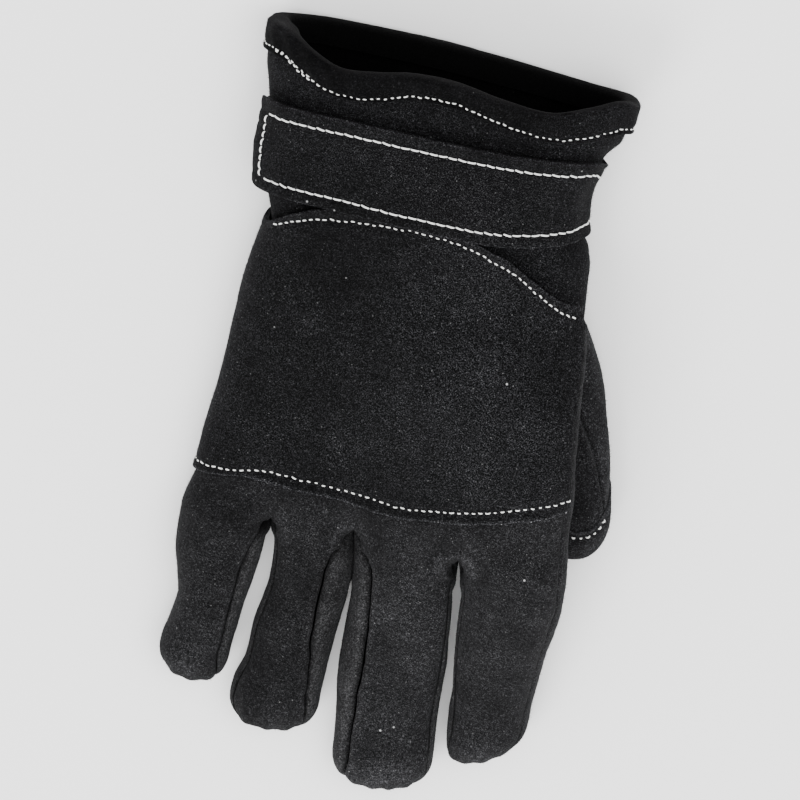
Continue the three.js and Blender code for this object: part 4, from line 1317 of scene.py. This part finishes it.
# %% The thumb's surface
THUMB_TIP, THUMB_CAP, THUMB_TIP_X = -40.8, 15.0, 62.6
THUMB = table(
    "y left right under height",
    [-41, 46.0, 73.4, 2.3, 17.2], [-27, 46.0, 73.4, 2.3, 17.4], [-19, 45.2, 73.4, 2.3, 17.6],
    [-8, 43.6, 72.4, 2.3, 18.0], [8, 40.4, 69.0, 2.3, 18.2], [22, 37.2, 65.8, 2.4, 18.6],
    [36, 33.4, 59.6, 3.6, 19.0], [48, 29.0, 52.6, 6.6, 17.0], [60, 27.0, 45.0, 8.0, 15.0])
THUMB_SEAM = table("y angle", [-30, 14], [-24, 23], [-18, 34.5], [-12, 42.5], [-6, 49], [0, 57],
                   [6, 65], [12, 73], [20, 84])
THUMB_MM_PER_DEG = 0.24


def thumb(y0, turn, deg, inset=0.0):
    """Point of the thumb, worked out like a finger, with its own heights."""
    c = np.maximum(0.0, cosd(turn))
    scale = c ** 0.8
    y = y0 - (THUMB_CAP - inset) * sind(turn)
    left, right, under, height = curves(THUMB, y)
    s = dict(x=mix((left + right) / 2, THUMB_TIP_X, 1 - c), half=(right - left) / 2 * scale,
             side=under + height / 2, above=height / 2 * scale,
             below=(height / 2 + 0.6) * scale, under=under, top=2.4, low=2.6)
    x, z = section(s, deg, inset * scale)
    return points_of(x, y, z)


width = curve(THUMB, THUMB_TIP, "right") - curve(THUMB, THUMB_TIP, "left")
print(f"thumb: {width:.1f} mm across at its end")


# %% Thumb
def outside_hand(points):
    """Positive outside the hand's outer face: the section's own formula less one."""
    x, y, z = xyz(points)
    s = hand_section(y)
    z = z - lift(x, y)
    up = z >= s["side"]
    power = np.where(up, s["top"], s["low"])
    rz = np.abs(z - s["side"]) / np.where(up, s["above"], s["below"])
    full = np.abs((x - s["x"]) / s["half"]) ** power + rz ** power - 1
    return np.where(z < s["under"], np.maximum(full, (s["under"] - z) * 0.1), full)


def thumb_dents(x, y, z):
    """Dents that fade out where the thumb lies on the table."""
    return dents(x, y, z, 0.7) * smooth((z - 2.4) / 4)


def thumb_relief(x, y, z, deg):
    """Dents, and the seam on the outer side with a ridge beside it."""
    seam = (deg - curve(THUMB_SEAM, y)) * THUMB_MM_PER_DEG
    line = -1.0 * bell(seam, 0.8) + 0.7 * bell(seam - 2.2, 1.4)
    return thumb_dents(x, y, z) + line * smooth((y + 25) / 6)


def make_thumb():
    """Each line of the grid runs from the tip to the first of 400 places inside the hand."""
    deg = np.concatenate([np.linspace(0, 100, 90)[:-1], np.linspace(100, 360, 66)])
    tries = np.linspace(-20.0, 57.0, 400)
    out = outside_hand(thumb(tries[:, None], 0.0, deg)) > 0
    root = tries[np.where(out.all(axis=0), 399, np.argmin(out, axis=0))] + 0.9
    start, turns = THUMB_TIP + THUMB_CAP, tip_turns(15)
    y0 = np.concatenate([np.full((len(turns), len(deg)), start), rows_between(start, root, 84)])
    turn = np.concatenate([turns, np.zeros(84)])[:, None]
    bumps = thumb_relief(*xyz(thumb(y0, turn, deg)), deg)
    bumps = bumps * np.where(turn > 89, 0, 1) * cosd(turn) ** 0.5
    grid = tube(thumb(y0, turn, deg, -bumps), thumb(y0, turn, deg, LEATHER + 0 * bumps))
    finish_piece(leather_mesh("suede_thumb", grid), PALM_SUEDE, "thumb_suede", "thumb")


make_thumb()

# %% [markdown]
# Rope wears through a thumb first at its end, so a second layer is sewn over it: short on the
# back, long on the palm side. A short row of stitches crosses it near the end.

# %% The thumb patch's surface
THUMB_STITCH = table("angle reach", [20, 16.0], [30, 14.6], [40, 12.0], [52, 9.8], [65, 8.8],
                     [90, 8.6])
THUMB_PATCH_EDGE = table(
    "angle reach", [0, 21.5], [10, 19.2], [20, 17.8], [30, 16.4], [40, 13.8], [52, 11.6],
    [65, 10.6], [90, 10.4], [150, 10.4], [180, 16.0], [215, 28.0], [270, 30.0], [320, 28.5],
    [345, 25.0], [360, 21.5])


def thumb_patch_base(reach, deg):
    """y and turn of a place this far from the end, the dents there, distance to the edge."""
    turned = np.degrees(np.arcsin(clamp01(1 - reach / THUMB_CAP)))
    y0 = np.where(reach >= THUMB_CAP, THUMB_TIP + reach, THUMB_TIP + THUMB_CAP)
    turn = np.where(reach >= THUMB_CAP, 0, turned)
    own = thumb_dents(*xyz(thumb(y0, turn, deg))) * cosd(turn) ** 0.5
    return y0, turn, own, curve(THUMB_PATCH_EDGE, deg) - reach


def thumb_patch_surface(reach, deg, height):
    """The patch thins out towards its edge, sooner on the back than underneath."""
    y0, turn, own, to_edge = thumb_patch_base(reach, deg)
    under = smooth(0.6 - 1.5 * sind(deg))
    thin = mix(0.9 * smooth(1 - to_edge / 4.0), 1.3 * smooth(1 - to_edge / 14.0), under)
    bumps = furrow(to_edge - 1.8, 0.9, 0.3) * smooth(reach / 2)
    return thumb(y0, turn, deg, -(own + np.maximum(2.02 - thin + bumps, 0.65) + height))


# %% Thumb patch
def make_thumb_patch():
    """Rings from the thumb's end out to the patch's edge, closer together near the end."""
    deg = np.linspace(0, 360, 121)
    reach = np.linspace(0, 1, 46)[:, None] ** 1.5 * curve(THUMB_PATCH_EDGE, deg)
    y0, turn, own, to_edge = thumb_patch_base(reach, deg)
    inner = thumb(y0, turn, deg, -(own + mix(0.42, 0.1, smooth(1 - to_edge / 6.0))))
    grid = tube(thumb_patch_surface(reach, deg, 0.0), inner, 0.5 + 0.5 * cut_edge_fuzz_and_highlight(to_edge))
    obj = leather_mesh("suede_thumb_patch", grid)
    finish_piece(obj, PALM_SUEDE, "thumb_suede", "thumb_patch")
    deg = np.linspace(26, 168, 200)
    sew("stitch_thumb", thumb_patch_surface, curve(THUMB_STITCH, deg), deg, 17, pitch=2.5)


make_thumb_patch()

# %% [markdown]
# The glove lies on a pale studio table under large soft lights. The camera looks down on the
# back of the hand, a little from the finger side, with a long lens, and is rolled so that the
# hand leans as it does in the picture.

# %% Floor and lights
TILT, ROLL = math.radians(20.0), math.radians(8.0)
VIEW_WIDTH, CAMERA_DISTANCE = 0.264, 4.0
AIM = Vector((-3.6 * MM, 7.9 * MM, 20.0 * MM))


def make_floor():
    """A wide plane at the height on which the glove rests."""
    bpy.ops.mesh.primitive_plane_add(size=6.0, location=(0, 0, 0))
    floor = bpy.context.object
    floor.name = "studio_floor"
    material, tree, shader = new_material("pale_floor")
    plug(tree, shader, Base_Color=(0.94, 0.94, 0.94, 1.0), Roughness=0.9)
    floor.data.materials.append(material)


def make_light(name, place, size, power):
    """Round soft light turned towards the glove."""
    light = bpy.data.lights.new(name, "AREA")
    light.shape = "DISK"
    light.size = size
    light.energy = power
    obj = bpy.data.objects.new(name, light)
    obj.location = place
    obj.rotation_euler = (AIM - Vector(place)).to_track_quat("-Z", "Y").to_euler()
    bpy.context.scene.collection.objects.link(obj)


def make_world():
    """Even white light from all round."""
    world = bpy.data.worlds.new("studio")
    bpy.context.scene.world = world
    world.use_nodes = True
    background = world.node_tree.nodes["Background"]
    plug(world.node_tree, background, Color=(1.0, 1.0, 1.0, 1.0), Strength=1.7)


make_floor()
make_world()
make_light("key_from_fingers", (-0.5, -0.9, 1.1), 0.9, 20.0)
make_light("soft_top", (0.4, 0.3, 1.4), 1.2, 17.0)


# %% Camera
def make_camera():
    """Long lens behind and above the fingers: its own right, up and back axes, then its place."""
    up = Vector((0, math.cos(TILT), -math.sin(TILT)))
    across = Vector((1, 0, 0))
    right = across * math.cos(ROLL) + up * math.sin(ROLL)
    above = up * math.cos(ROLL) - across * math.sin(ROLL)
    back = right.cross(above)
    camera = bpy.data.cameras.new("photo_camera")
    camera.sensor_fit = "HORIZONTAL"
    camera.lens = camera.sensor_width * CAMERA_DISTANCE / VIEW_WIDTH
    camera.clip_start = 0.01
    obj = bpy.data.objects.new("photo_camera", camera)
    turn = Matrix((right, above, back)).transposed().to_4x4()
    obj.matrix_world = Matrix.Translation(AIM + back * CAMERA_DISTANCE) @ turn
    bpy.context.scene.collection.objects.link(obj)
    bpy.context.scene.camera = obj


make_camera()
print(f"focal length: {bpy.context.scene.camera.data.lens:.0f} mm")
